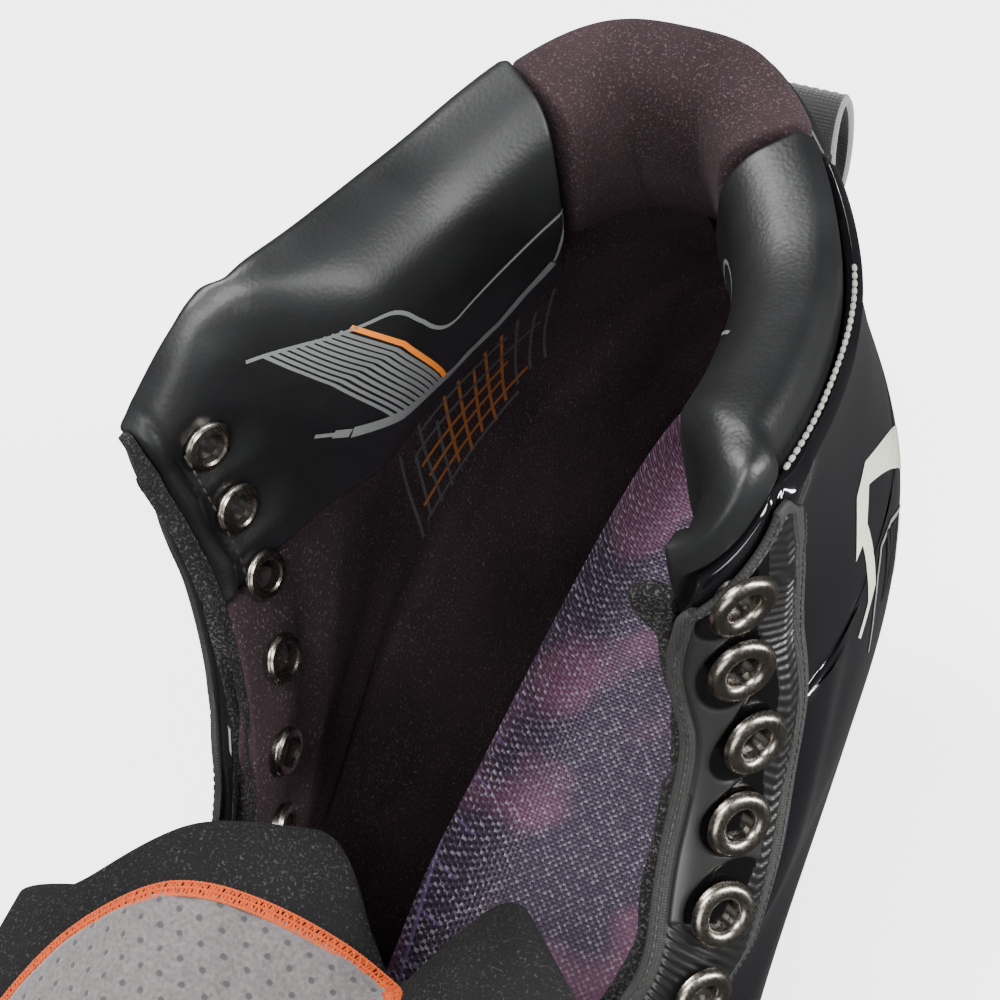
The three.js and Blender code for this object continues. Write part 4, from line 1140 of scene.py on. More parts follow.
def makeEyeletMaster():
    top, foot = 2.35, -6.5
    bore, flange, roll = eyeletLook["bore"], eyeletLook["flange"], eyeletLook["roll"]
    outline = [(bore, foot - 0.9), (bore, top + 0.1)]
    for step in range(1, 10):
        angle = math.pi * (1 - step / 10)
        outline.append(((bore + flange) / 2 + (flange - bore) / 2 * math.cos(angle),
                        top + 0.1 + eyeletLook["dome"] * math.sin(angle)))
    outline += [(flange, top), (flange - 0.35, top - 0.3), (eyeletLook["barrel"], top - 0.3),
                (eyeletLook["barrel"], foot)]
    for step in range(0, 7):
        angle = math.pi * step / 6
        half = (roll - eyeletLook["barrel"]) / 2
        outline.append((eyeletLook["barrel"] + half + half * math.cos(math.pi - angle),
                        foot - 0.25 - 0.5 * math.sin(angle)))
    outline += [(roll - 0.5, foot - 1.0), (bore + 0.4, foot - 1.15)]
    deselectAll()
    bpy.ops.mesh.primitive_plane_add(size=1)
    master = bpy.context.object
    master.name = "eyelet_master"
    mesh = master.data
    mesh.clear_geometry()
    mesh.from_pydata([(x * mm, 0, z * mm) for x, z in outline],
                     [(k, (k + 1) % len(outline)) for k in range(len(outline))], [])
    bpy.ops.object.mode_set(mode="EDIT")
    bpy.ops.mesh.select_all(action="SELECT")
    bpy.ops.mesh.spin(steps=eyeletLook["segments"], angle=2 * math.pi, center=(0, 0, 0), axis=(0, 0, 1))
    bpy.ops.mesh.select_all(action="SELECT")
    bpy.ops.mesh.remove_doubles(threshold=1e-6)
    bpy.ops.mesh.normals_make_consistent(inside=False)
    bpy.ops.object.mode_set(mode="OBJECT")
    return master


def makeEyelets():
    master = makeEyeletMaster()
    for side in ("lateral", "medial"):
        for number, height in enumerate(eyeletHeights[side], 1):
            turn = toTurn(side, aroundAt(side, 0.0, height))
            out = Vector(skinNormal(turn, height))
            spot = Vector(skin(turn, height) * mm)
            mesh = master.data.copy()
            mesh.transform(Matrix.Translation(spot) @ out.to_track_quat("Z", "Y").to_matrix().to_4x4())
            ring = bpy.data.objects.new(f"eyelet_ring_{side}_{number:02d}", mesh)
            bpy.context.scene.collection.objects.link(ring)
            finishPiece(ring, pewter, "eyelet_metal", "boot", [f"eyelet_{side}_{number:02d}"], 35)
    bpy.data.objects.remove(master)


makeEyelets()
print("eyelets made")


# Padding.
# Air pressure under a cloth cover; held is 1 where it is sewn down or backed, and moves are capped.
def puff(piece, held, pressure, most, shrink=0.0, frames=20):
    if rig.quick():
        return
    rest = np.array([v.co for v in piece.data.vertices])
    group = piece.vertex_groups.new(name="held")
    for weight in np.unique(np.round(held, 1)):
        members = np.nonzero(np.round(held, 1) == weight)[0].tolist()
        group.add(members, float(weight), "REPLACE")
    cloth = piece.modifiers.new("cloth", "CLOTH")
    settings = cloth.settings
    settings.quality, settings.mass, settings.air_damping = 6, 0.25, 3
    settings.tension_stiffness = settings.compression_stiffness = 12
    settings.shear_stiffness, settings.bending_stiffness = 6, 0.15
    settings.use_pressure, settings.uniform_pressure_force = True, pressure
    settings.shrink_min, settings.vertex_group_mass = shrink, "held"
    settings.effector_weights.gravity = 0
    cloth.collision_settings.use_collision = False
    scene = bpy.context.scene
    for step in range(1, frames + 1):
        scene.frame_set(step)
    shaped = piece.evaluated_get(bpy.context.evaluated_depsgraph_get()).to_mesh()
    moved = np.array([v.co for v in shaped.vertices])
    piece.modifiers.remove(cloth)
    scene.frame_set(1)
    step = moved - rest
    far = np.linalg.norm(step, axis=1, keepdims=True)
    moved = rest + step * np.minimum(1, most * mm / np.maximum(far, 1e-9))
    piece.data.vertices.foreach_set("co", moved.ravel())
    piece.data.update()
    print("cloth settled:", piece.name, "largest move", round(float(far.max()) / mm, 1), "mm")


def walkAtAround(side, around, height):
    table = rings[side][0]
    rows = np.clip(np.round(height).astype(int), 0, 158)
    found = [np.interp(around, table[row], walkRange) for row in rows.ravel()]
    return np.array(found).reshape(rows.shape)


padLook = {"front": 5.4, "pressure": 2.6, "most": 2.6, "columns": 84, "rows": 40,
           "footLine": [(-12, 118), (-2, 115.5), (8, 114), (20, 111.5), (36, 107.5), (62, 105), (80, 112),
                        (96, 124)]}


def padFootAt(walked):
    return follow(padLook["footLine"], walked)


def padRim(side, walked):
    corner = 12 * (1 - ease(walked, -12, 9))
    crown = 3 * ease(walked, 4, 20) * (1 - ease(walked, 75, 100)) if side == "medial" else 0
    return boot["shaftHeight"] + collarLift(walked) - corner + crown


def padInner(side, walked, height):
    share = (height - padFootAt(walked)) / (padRim(side, walked) - padFootAt(walked))
    crown = np.sqrt(np.clip(1 - ((share - 0.58) / 0.66) ** 2, 0, 1))
    full = mix(5.8, boot["padWall"], crown)
    thick = mix(padLook["front"], full, ease(walked, 3, 30) if side == "medial" else ease(walked, 1, 19))
    thick = thick - 0.9 * np.exp(-((walked + 5.2) / 0.9) ** 2)
    return liningTop + thick


def makePad(side):
    s, r = np.meshgrid(clustered(padLook["columns"], 0.3), clustered(padLook["rows"], 0.4))
    height = mix(boot["padFoot"], boot["shaftHeight"], r)
    for _ in range(4):
        start = edgeLine(side, -9.0, height)
        stop = walkAtAround(side, boot["guardTurn"] - 0.003, height)
        walked = mix(start, stop, s)
        height = mix(padFootAt(walked), padRim(side, walked), r)
    turn = toTurn(side, aroundAt(side, walked, height))
    inner = padInner(side, walked, height)
    points = wall(turn, height, inner)
    dimple = nearEyelets(side, points, 11.5)
    inner = inner - (inner - (liningTop + boot["liningWall"] - 0.1)) * dimple
    # where the shell's corner is cut back the pad rolls out to its skin
    outer = mix(liningTop + 0.1, 0.3, ease(cornerLine(height) - walked, -1.0, 2.5) * ease(height, 134, 142))
    piece = layerPiece(f"ankle_pad_cover_{side}", turn, height, outer, inner, (3.6, 2.4, 3.2, 9.0),
                       (walked, height), 0.25)
    edge = 1 - edgeRound(skin(turn, height), (3, 3, 3, 2))
    heldInner = np.clip(np.maximum(edge * 1.2, dimple * 1.6), 0, 1)
    held = np.concatenate([np.ones(turn.size), heldInner.ravel()])
    puff(piece, held, padLook["pressure"], padLook["most"])
    addModifier(piece, "SUBSURF", levels=1, render_levels=1)
    return finishPiece(piece, padBlack, "pad_leather", "boot", [f"ankle_pad_{side}"], 60)


def makeRoll():
    s, r = np.meshgrid(np.linspace(0, 1, 91), clustered(36, 0.3))
    start = boot["guardTurn"] + 0.004
    turn = mix(start, 2 - start, s)
    lower = mix(124, 119, np.sin(math.pi * s))
    height = mix(lower, boot["shaftHeight"] + 0.5, r)
    crown = np.sqrt(np.clip(1 - ((r - 0.62) / 0.72) ** 2, 0, 1))
    heel = np.sin(math.pi * s)
    inner = liningTop + mix(7.0, mix(boot["padWall"] - 1.5, boot["rollWall"], heel), crown)
    outer = np.full(turn.shape, liningTop + 0.2)
    piece = layerPiece("collar_roll", turn, height, outer, inner, (3, 3, 4, 8), (s * 90, height), 0.2)
    edge = 1 - edgeRound(skin(turn, height), (3, 3, 3, 2))
    held = np.concatenate([np.ones(turn.size), np.clip(edge * 1.2, 0, 1).ravel()])
    puff(piece, held, 2.5, 2.2)
    addModifier(piece, "SUBSURF", levels=1, render_levels=1)
    return finishPiece(piece, collarPile, "collar_fabric", "tendon_guard", ["tendon_guard_lining"], 60)


pads = {side: makePad(side) for side in ("lateral", "medial")}
roll = makeRoll()
for piece, fill in ((pads["lateral"], 0.7), (pads["medial"], 0.7), (roll, 0.75)):
    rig.padded(piece, fill=fill)
print("padding made")


# Liner.
linerLook = {"columns": 190, "rows": 110, "foot": 4}


def linerInner(side, walked, height):
    soft = 0.5 * np.sin(walked * 0.11 + height * 0.05) * np.sin(height * 0.09)
    return liningDepth(walked, boot["linerWall"]) + soft * ease(walked, 8, 26)


def makeLiner(side):
    s, r = np.meshgrid(clustered(linerLook["columns"], 0.4), clustered(linerLook["rows"], 0.3))
    height = mix(linerLook["foot"], boot["padFoot"], r)
    for _ in range(3):
        start = edgeLine(side, -9.0, height)
        walked = mix(start, heelWalk(side, height) - 0.3, s)
        around = aroundAt(side, walked, height)
        rear = mix(padFootAt(np.minimum(walked, 96)), 119.5, ease(around, 0.68, 0.73))
        height = mix(linerLook["foot"], np.minimum(rear, 123) - 0.35, r)
    turn = toTurn(side, around)
    inner = linerInner(side, walked, height)
    outer = np.full(turn.shape, liningTop + 0.1)
    piece = layerPiece(f"liner_cloth_{side}", turn, height, outer, inner, (1.6, 0.3, 1, 1.5),
                       (walked, height), 0.3)
    return finishPiece(piece, linerPile, "liner", "boot", [f"liner_{side}"], 60)


liners = {side: makeLiner(side) for side in ("lateral", "medial")}


# Points of the strip along the eyelets, from rows along it and distances across it.
def stripAt(side, across, rows):
    strip = strips[side]
    reaches = np.array(sorted(strip))
    tables = [np.stack([strip[reach][k] for reach in reaches], 1) for k in (0, 1)]
    i = np.clip(np.searchsorted(reaches, across) - 1, 0, len(reaches) - 2)
    t = (across - reaches[i]) / (reaches[i + 1] - reaches[i])
    low = np.floor(rows).astype(int)[:, None]
    high = np.minimum(low + 1, len(tables[0]) - 1)
    part = rows[:, None] - low
    return [mix(mix(table[low, i], table[low, i + 1], t), mix(table[high, i], table[high, i + 1], t), part)
            for table in tables]


# the felt layer whose cut edge shows in front of the facing and the pad
bindingLook = {"reach": 3.7, "rows": 260, "columns": 14}


def makeBinding(side):
    medial = side == "medial"
    top = 8 if medial else 62
    rows = np.linspace(top, len(eyeletCurveHeights) - 12, bindingLook["rows"])
    t = np.linspace(0, 1, bindingLook["rows"])
    wavy = 0.35 * np.sin(t * 47) + 0.3 * np.sin(t * 23 + 1)
    if medial:
        reach = (bindingLook["reach"] + wavy) * ease(t, 0, 0.16) * (1 - 0.5 * ease(t, 0.75, 1))
    else:
        tab = ease(t, -0.01, 0.025) * (1 - ease(t, 0.05, 0.12))
        reach = 1.9 + 0.6 * wavy + 3.6 * tab
    notch = 1.3 * np.exp(-((t - 0.4) / 0.012) ** 2)
    front = -10.4 - np.maximum(reach - notch, 0.4)
    across = mix(front[:, None], -8.6, np.linspace(0, 1, bindingLook["columns"])[None, :])
    walked, height = stripAt(side, across, rows)
    turn = toTurn(side, aroundAt(side, walked, height))
    outer = np.full(turn.shape, 2.75 if medial else 2.0)
    piece = layerPiece(f"felt_binding_{side}", turn, height, outer, outer + 2.5, (1.1, 0.3, 1, 1),
                       (across, height), 0.5)
    return finishPiece(piece, bindingFelt, "felt", "boot", (), 60)


for side in ("lateral", "medial"):
    makeBinding(side)
print("liner made")


# Footbed.
footbedLook = {"margin": 10.5, "cup": 15, "thickness": 4, "low": 2.8, "rows": 90, "columns": 190,
               "vents": [(-14, -20), (-20, -28), (-8, -29), (-17, -38), (-6, -40), (6, -24), (12, -34), (2, -50)]}


def makeFootbed():
    s, r = np.meshgrid(clustered(footbedLook["columns"], 0.3), clustered(footbedLook["rows"], 0.5))
    around = mix(0.05, 0.955, s)
    across = 2 * r - 1

    def face(lift, raised):
        side = [wall(t, np.full(t.shape, 6.0 + lift), footbedLook["margin"]) for t in (around, 2 - around)]
        point = mix(side[0], side[1], r[..., None])
        arch = ease(point[..., 1], -40, 10) * np.where(across > 0, 1, 0.55) * footbedLook["cup"]
        rise = (3 + arch) * np.abs(across) ** 5
        point[..., 2] = floorAt(point[..., 1]) + footbedLook["low"] + rise + raised
        return point

    low, high = face(0, 0), face(4, footbedLook["thickness"])
    full = mix(0.25, 1, edgeRound(high, (1.5, 1.5, 1.5, 1.5)))[..., None]
    middle = (low + high) / 2
    top, under = mix(middle, high, full), mix(middle, low, full)
    points = np.concatenate([top.reshape(-1, 3), under.reshape(-1, 3)])
    pattern = np.concatenate([high[..., :2].reshape(-1, 2)] * 2)
    piece = newPiece("footbed_cloth", points, slabFaces(*s.shape), pattern)
    faceOut(piece)
    deselectAll()
    for number, (x, y) in enumerate(footbedLook["vents"]):
        bpy.ops.mesh.primitive_cylinder_add(vertices=16, radius=1.1 * mm, depth=0.05,
                                            location=(x * mm, y * mm, 0.075))
        cutter = bpy.context.object
        addModifier(piece, "BOOLEAN", operation="DIFFERENCE", object=cutter, solver="EXACT")
        bpy.data.objects.remove(cutter)
    return finishPiece(piece, footbedWeave, "footbed_cover", "footbed", ["footbed"], 50)


makeFootbed()
print("footbed made")


# Printed lines.
# A line through (walked, height) pairs, just over the pad's inner face.
def padLine(side, pairs):
    walked, height = evenly(np.array(pairs, float), 0.8).T
    depth = padInner(side, walked, height)
    turn = toTurn(side, aroundAt(side, walked, height))
    return wall(turn, height, depth + 0.3), -skinNormal(turn, height)


# The corners of a line cut back until it is smooth.
def rounded(pairs, passes=3):
    line = np.array(pairs, float)
    for _ in range(passes):
        a, b = line[:-1], line[1:]
        cut = np.stack([mix(a, b, 0.25), mix(a, b, 0.75)], 1).reshape(-1, 2)
        line = np.concatenate([line[:1], cut, line[-1:]])
    return line


printLook = {"stripe": 0.72, "stripes": 10, "lift": 0.12}


def makePadPrint():
    side = "medial"
    outline = rounded([(9, 156.8), (25, 154.4), (31, 152.0), (35.5, 143), (42, 137), (50, 138), (74, 141.5)], 3)
    down = [(74, 141.5), (72.8, 130)]
    border = [(72.8, 130), (60, 122.8), (46, 121), (30, 125), (19, 129.3)]
    grey = [padLine(side, outline), padLine(side, down)]
    for k in range(printLook["stripes"]):
        t = k / (printLook["stripes"] - 1)
        high, low = (mix(11.5, 21.8, t), mix(156.4, 155.3, t)), (mix(27.5, 40.8, t), mix(125.9, 122.9, t))
        grey.append(padLine(side, [high, low]))
    lines = ribbon("pad_print_lines", grey, printLook["stripe"])
    line, normal = padLine(side, border)
    wide = ribbon("pad_print_border", [(line, normal)], 2.6)
    tip = [padLine(side, [(19, 129.3), (16, 131.2)]), padLine(side, [(17, 130.6), (13, 132.9)])]
    tipPiece = ribbon("pad_print_tip", tip[:1], 2.0)
    tipEnd = ribbon("pad_print_tip_end", tip[1:], 1.0)
    orange = ribbon("pad_print_orange", [padLine(side, [(23.4, 155.1), (42.6, 122.4)])], 0.95)
    for piece in (lines, wide, tipPiece, tipEnd, orange):
        layOn(piece, pads[side], printLook["lift"])
        finishPiece(piece, printOrange if piece is orange else printGrey, "pad_leather", "boot")
    side = "lateral"
    other = [padLine(side, [(mix(40, 47, t), 147), (mix(40, 47, t) - 4, 128)]) for t in np.linspace(0, 1, 6)]
    edge = padLine(side, rounded([(36, 158), (39, 150), (62, 148), (70, 140), (70, 122)], 2))
    lateralGrey = ribbon("pad_print_lines_lateral", other + [edge], printLook["stripe"])
    lateralOrange = ribbon("pad_print_orange_lateral", [padLine(side, [(49, 147), (45, 128)])], 0.95)
    for piece in (lateralGrey, lateralOrange):
        layOn(piece, pads[side], printLook["lift"])
        finishPiece(piece, printOrange if piece is lateralOrange else printGrey, "pad_leather", "boot")


# A line on the inner side's liner through (y, z) pairs.
def linerLine(points):
    y, z = evenly(np.array(points, float), 0.8).T
    height = z - boot["soleLine"]
    for _ in range(3):
        height = z - boot["soleLine"] - boot["heelRise"] * ease(y, -60, 60) * (1 - ease(height, 20, 110))
    front = follow(last["front"], height) - boot["medialLead"] * ease(height, 66, 86)
    along = (y - front) / (follow(last["back"], height) - front)
    turn = 2 - np.arccos(np.clip(1 - 2 * along, -1, 1)) / math.pi
    return wall(turn, height, liningTop + boot["linerWall"] + 0.3), -skinNormal(turn, height)


def makeLinerPrint():
    rng = np.random.default_rng(11)
    inks = {"grey": [], "orange": []}
    for k, y in enumerate(np.arange(50, 98, 4.0)):
        low = 134 + 3 * rng.random() + 0.12 * (y - 50)
        high = 152 + 12 * rng.random() + 0.14 * (y - 50)
        inks["orange" if 3 < k < 9 else "grey"].append(linerLine([(y - 1, low), (y + 2.5, high)]))
    for k, z in enumerate(np.arange(138, 166, 4.0)):
        start = 50 + 5 * rng.random() + 0.35 * (z - 138)
        end = 78 + 12 * rng.random() + 0.3 * (z - 138)
        inks["orange" if k in (1, 2, 3) else "grey"].append(linerLine([(start, z - 1.5), (end, z + 1)]))
    for ink, lines in inks.items():
        piece = ribbon(f"liner_print_{ink}", lines, 0.8)
        layOn(piece, liners["medial"], 0.1)
        finishPiece(piece, inkOrange if ink == "orange" else inkGrey, "liner", "boot")


makePadPrint()
makeLinerPrint()
print("prints made")


# Tongue, folded forward out of the throat.
tongueLook = {"thickness": 9, "width": 100, "reach": 96, "rootMiddle": -3, "middle": -12, "rootShare": 0.4,
              "crease": 0.14, "wingRise": 17, "wingBulge": 22, "rows": 120, "columns": 130,
              "panelEdge": [(-58, -86), (-55, -68), (-49, -53), (-42, -44.5), (-33, -38), (-22, -34.2),
                            (-10, -33.2), (0, -35), (5, -39), (5, -48), (3, -62), (2, -86)]}
foldPlace = (float(follow(last["front"], 79)) - 4, boot["soleLine"] + 79 + 15)


def wingShare(across):
    aside = np.abs(across - tongueLook["crease"])
    return (1 - np.exp(-(aside / 0.3) ** 2)) * (1 - 0.75 * ease(aside, 0.5, 1.1))


def tonguePoint(across, along):
    opened = ease(along, 0.02, 0.2)
    end = np.sqrt(np.clip(1 - np.clip((along - 0.9) / 0.105, 0, 1) ** 2, 0, 1))
    half = tongueLook["width"] / 2 * (mix(tongueLook["rootShare"], 1, opened) - 0.14 * ease(along, 0.75, 1))
    half = half * mix(0.82, 1, end)
    x = mix(tongueLook["rootMiddle"], tongueLook["middle"], opened) + across * half
    turnOver = np.sin(math.pi * 0.5 * np.clip(along / 0.18, 0, 1))
    share = wingShare(across)
    bulge = tongueLook["wingBulge"] * share * ease(along, 0.01, 0.1) * (1 - ease(along, 0.2, 0.6))
    y = foldPlace[0] - tongueLook["reach"] * np.maximum(0, along - 0.05) + 3 * (1 - turnOver) + bulge
    wing = tongueLook["wingRise"] * share * opened * (1 - ease(along, 0.5, 1))
    z = foldPlace[1] - 8 * (1 - turnOver) + wing - 20 * ease(along, 0.25, 1.05)
    return np.stack(np.broadcast_arrays(x, y, z), -1)


def tongueSlab(name, low, high, acrossSpan, alongSpan, radius, rows, columns, bumps=0.0):
    s, r = np.meshgrid(clustered(columns, 0.5), clustered(rows, 0.5))
    across, along = mix(acrossSpan[0], acrossSpan[1], s), mix(alongSpan[0], alongSpan[1], r)
    base = tonguePoint(across, along)
    around = np.gradient(base, axis=1)
    ahead = np.gradient(base, axis=0)
    normal = np.cross(ahead, around)
    normal /= np.linalg.norm(normal, axis=-1, keepdims=True)
    normal *= np.sign((normal[..., 2:].mean())) or 1
    normal = mix(normal, np.array([0, 0, 1.0]), 0.35)
    full = mix(0.08, 1, edgeRound(base, (radius,) * 4))[..., None]
    soft = bumps * (np.sin(across * 7 + along * 5) * np.sin(along * 17 - across * 3) + 0.5 * np.sin(across * 19 + 2))
    middle = (low + high) / 2
    faces = [base + normal * (middle + (depth - middle) * full + soft[..., None] * (depth > low))
             for depth in (high, low)]
    points = np.concatenate([face.reshape(-1, 3) for face in faces])
    flat = np.stack([across * 50, along * 96], -1).reshape(-1, 2)
    piece = newPiece(name, points, slabFaces(*s.shape), np.concatenate([flat, flat]))
    faceOut(piece)
    return piece


def makeTongue():
    felt = tongueSlab("tongue_cover", -tongueLook["thickness"], 0, (-1, 1), (0, 1), 4.6, 150, 170, 0.35)
    finishPiece(felt, feltBlack, None, "tongue", (), 60)
    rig.slot(felt, "felt")
    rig.replaces(felt, "tongue_felt")
    guard = tongueSlab("tongue_guard_plate", -11.2, -9.4, (-0.75, 0.68), (0.2, 1), 0.9, 60, 70)
    finishPiece(guard, facingBlack, "facing", "tongue", ["tongue_lace_guard"], 40)
    return felt


# The comfort panel's border, as places on the plan of the tongue.
def panelOutline():
    return rounded(tongueLook["panelEdge"], 3)


def makePanel(felt):
    outline = panelOutline()
    count, rows = 110, 90
    length = np.concatenate([[0], np.cumsum(np.linalg.norm(np.diff(outline, axis=0), axis=1))])
    share = clustered(count, 0.4)
    spots = np.stack([np.interp(mix(0, length[-1], share), length, outline[:, k]) for k in (0, 1)], -1)
    foot = np.stack([mix(-54, 26, share), np.full(count + 1, -118.0)], -1)
    r = clustered(rows, 0.5)[:, None, None]
    plan = mix(spots[None], foot[None], r)
    top = np.full(plan.shape[:2], 185.0)
    base = np.concatenate([plan, top[..., None]], -1)
    dimples = -0.35 * np.cos(plan[..., 0] / 3.1) * np.cos(plan[..., 1] / 3.1) ** 2
    folds = 0.9 * np.exp(-((plan[..., 0] + 14 + 0.3 * (plan[..., 1] + 60)) / 1.4) ** 2)
    folds = folds + 0.9 * np.exp(-((plan[..., 0] + 33 - 0.2 * (plan[..., 1] + 60)) / 1.4) ** 2)
    sheet = newPiece("tongue_foam", base.reshape(-1, 3), gridFaces(*plan.shape[:2]), plan.reshape(-1, 2))
    addModifier(sheet, "SHRINKWRAP", target=felt, wrap_method="PROJECT", use_project_z=True,
                use_negative_direction=True, use_positive_direction=False, offset=0)
    settled = np.array([v.co for v in sheet.data.vertices]) / mm
    grid = settled.reshape(*plan.shape[:2], 3)
    full = edgeRound(grid, (2.2, 2.2, 2, 2.2))
    upper = grid.copy()
    upper[..., 2] += 0.2 + 1.9 * full + dimples * full - folds * full
    lower = grid.copy()
    lower[..., 2] -= 0.6
    bpy.data.objects.remove(sheet)
    points = np.concatenate([upper.reshape(-1, 3), lower.reshape(-1, 3)])
    panel = newPiece("tongue_foam", points, slabFaces(*plan.shape[:2]), np.concatenate([plan.reshape(-1, 2)] * 2))
    faceOut(panel)
    finishPiece(panel, foamGrey, "comfort_mesh", "tongue", ["tongue_comfort_panel"], 50)
    return upper[0]


# Flat-lock stitching: loops from side to side over the panel's edge, with two rails.
def makeZigzag(border):
    line = evenly(border, 0.62)
    forward = np.gradient(line, axis=0)
    forward /= np.linalg.norm(forward, axis=1, keepdims=True)
    aside = np.cross(forward, [0, 0, 1.0])
    aside /= np.linalg.norm(aside, axis=1, keepdims=True)
    inward = np.sign((aside * (border.mean(0) - [0, 25, 0] - line)).sum(1).sum())
    aside *= inward
    wide, up, over = 1.25, np.array([0, 0, 0.5]), np.array([0, 0, 1.75])
    rng = np.random.default_rng(4)
    starts, ends = [], []
    for k in range(0, len(line) - 2):
        shake = rng.normal(0, 0.08, 3)
        left, right = line[k] + aside[k] * wide + over, line[k + 1] - aside[k + 1] * wide + up
        starts.append(left + shake)
        ends.append(right + shake)
        if k % 2 == 0:
            starts.append(line[k] - aside[k] * wide + up)
            ends.append(line[k + 2] + aside[k + 2] * wide + over)
    for side, lift in ((-wide, up), (wide, over), (0.0, (up + over) / 2 + [0, 0, 0.25])):
        rail = line + aside * side + lift
        starts += list(rail[:-1])
        ends += list(rail[1:])
    stitch = threads("tongue_zigzag", starts, ends, 0.24)
    return finishPiece(stitch, threadOrange, "comfort_mesh", "tongue")


def makeTongueBase():
    s, r = np.meshgrid(clustered(90, 0.5), clustered(60, 0.4))
    height = mix(50, 75, r)
    reach = np.zeros(height.shape)
    for row in range(height.shape[0]):
        reach[row] = aroundAt("lateral", -1.0, height[row, 0])
    around = np.maximum(reach * np.abs(1 - 2 * s), 0.0001)
    turn = np.where(s <= 0.5, around, 2 - around)
    depth = boot["shellWall"] + boot["gap"] + boot["liningWall"] + 2.6
    outer = np.full(turn.shape, depth)
    piece = layerPiece("tongue_root", turn, height, outer, outer + tongueLook["thickness"] - 3,
                       (2.5, 2.5, 2.5, 2.5), (s * 90, height))
    return finishPiece(piece, feltBlack, "felt", "boot", ["tongue_base"], 60)


tongueCover = makeTongue()
panelBorder = makePanel(tongueCover)
makeZigzag(panelBorder)
makeTongueBase()
print("tongue made")


# Pull loop.
loopLook = {"width": 17, "thickness": 2, "height": 25, "depth": 13, "offset": 7, "tail": 9, "drop": 32}


def makeLoop():
    foot = skin(1.0, boot["padFoot"] - loopLook["drop"])
    front = foot[1] + boot["gap"] + 0.4
    centre = np.array([front + loopLook["thickness"] + 2.5,
                       foot[2] + loopLook["tail"] + loopLook["height"] / 2 - loopLook["thickness"]])
    angle = np.linspace(-math.pi / 2, 1.5 * math.pi, 97)[:-1]
    ring = np.stack([centre[0] + (loopLook["depth"] / 2 - 1) * np.cos(angle),
                     centre[1] + (loopLook["height"] / 2 - 1) * np.sin(angle)], -1)
    out = np.stack([np.cos(angle) / loopLook["depth"], np.sin(angle) / loopLook["height"]], -1)
    out /= np.linalg.norm(out, axis=1, keepdims=True)
    half, across = loopLook["width"] / 2, np.linspace(-1, 1, 25)
    edge = np.sqrt(np.clip(1 - np.clip((np.abs(across) - 0.9) / 0.11, 0, 1) ** 2, 0, 1))
    ridge = 0.12 * np.cos(across * 28)
    thick = (0.95 * edge + ridge * edge)[None, :]
    points = []
    for sign in (1, -1):
        spread = ring[:, None, :] + out[:, None, :] * (sign * thick)[..., None]
        x = loopLook["offset"] + half * across[None, :] + 0 * spread[..., 0]
        points.append(np.stack([x, spread[..., 0], spread[..., 1]], -1))
    rows, columns = points[0].shape[:2]
    i = np.arange(rows * columns).reshape(rows, columns)
    j, count = np.roll(i, -1, 0), rows * columns
    faces = [np.stack([i[:, :-1], i[:, 1:], j[:, 1:], j[:, :-1]], -1).reshape(-1, 4)]
    faces.append(faces[0][:, ::-1] + count)
    faces += [np.stack([i[:, 0], j[:, 0], j[:, 0] + count, i[:, 0] + count], -1),
              np.stack([j[:, -1], i[:, -1], i[:, -1] + count, j[:, -1] + count], -1)]
    length = np.cumsum(np.linalg.norm(np.diff(ring, axis=0, prepend=ring[:1]), axis=1))
    flat = np.stack(np.broadcast_arrays(half * across[None, :], length[:, None]), -1).reshape(-1, 2)
    piece = newPiece("pull_loop_webbing", np.concatenate([p.reshape(-1, 3) for p in points]),
                     np.concatenate(faces), np.concatenate([flat, flat]))
    faceOut(piece)
    tailMiddle = (loopLook["offset"], front + loopLook["thickness"], foot[2] + loopLook["tail"] / 2 + 1.5)
    tail = boxPiece("pull_loop_tail", tailMiddle,
                    (loopLook["width"] - 0.3, 2 * loopLook["thickness"], loopLook["tail"] + 1), 0.9)
    finishPiece(piece, webbingBlack, "webbing", "pull_loop", ["pull_loop"], 50)
    finishPiece(tail, threadBlack, "webbing", "pull_loop", (), 50)
    starts, ends = [], []
    for x in (-1, 1):
        for k in range(5):
            z = foot[2] + 2.5 + 1.5 * k
            place_ = np.array([loopLook["offset"] + x * (half - 1.6), front + 2 * loopLook["thickness"] + 0.05, z])
            starts.append(place_ - [0, 0, 0.5])
            ends.append(place_ + [0, 0, 0.5])
    finishPiece(threads("pull_loop_stitches", starts, ends, 0.2), threadPale, "webbing", "pull_loop")


def boxPiece(name, middle, size, bevel):
    deselectAll()
    bpy.ops.mesh.primitive_cube_add(size=1, location=tuple(c * mm for c in middle))
    piece = bpy.context.object
    piece.name = name
    piece.scale = tuple(c * mm for c in size)
    bpy.ops.object.transform_apply(location=True, rotation=True, scale=True)
    addModifier(piece, "BEVEL", width=bevel * mm, segments=4)
    return piece


makeLoop()
print("pull loop made")


# Sole, holder and runner.
holderLook = {"towerLength": 78, "towerWidth": 58, "inset": 76, "flange": 3.6, "beamWidth": 10, "beamFoot": 13,
              "beamTop": 33, "voxel": 0.0011, "soleThickness": 5}
runnerLook = {"length": 280, "thickness": 3, "height": 27, "rocker": 3000, "contact": 44, "bevel": 0.35}


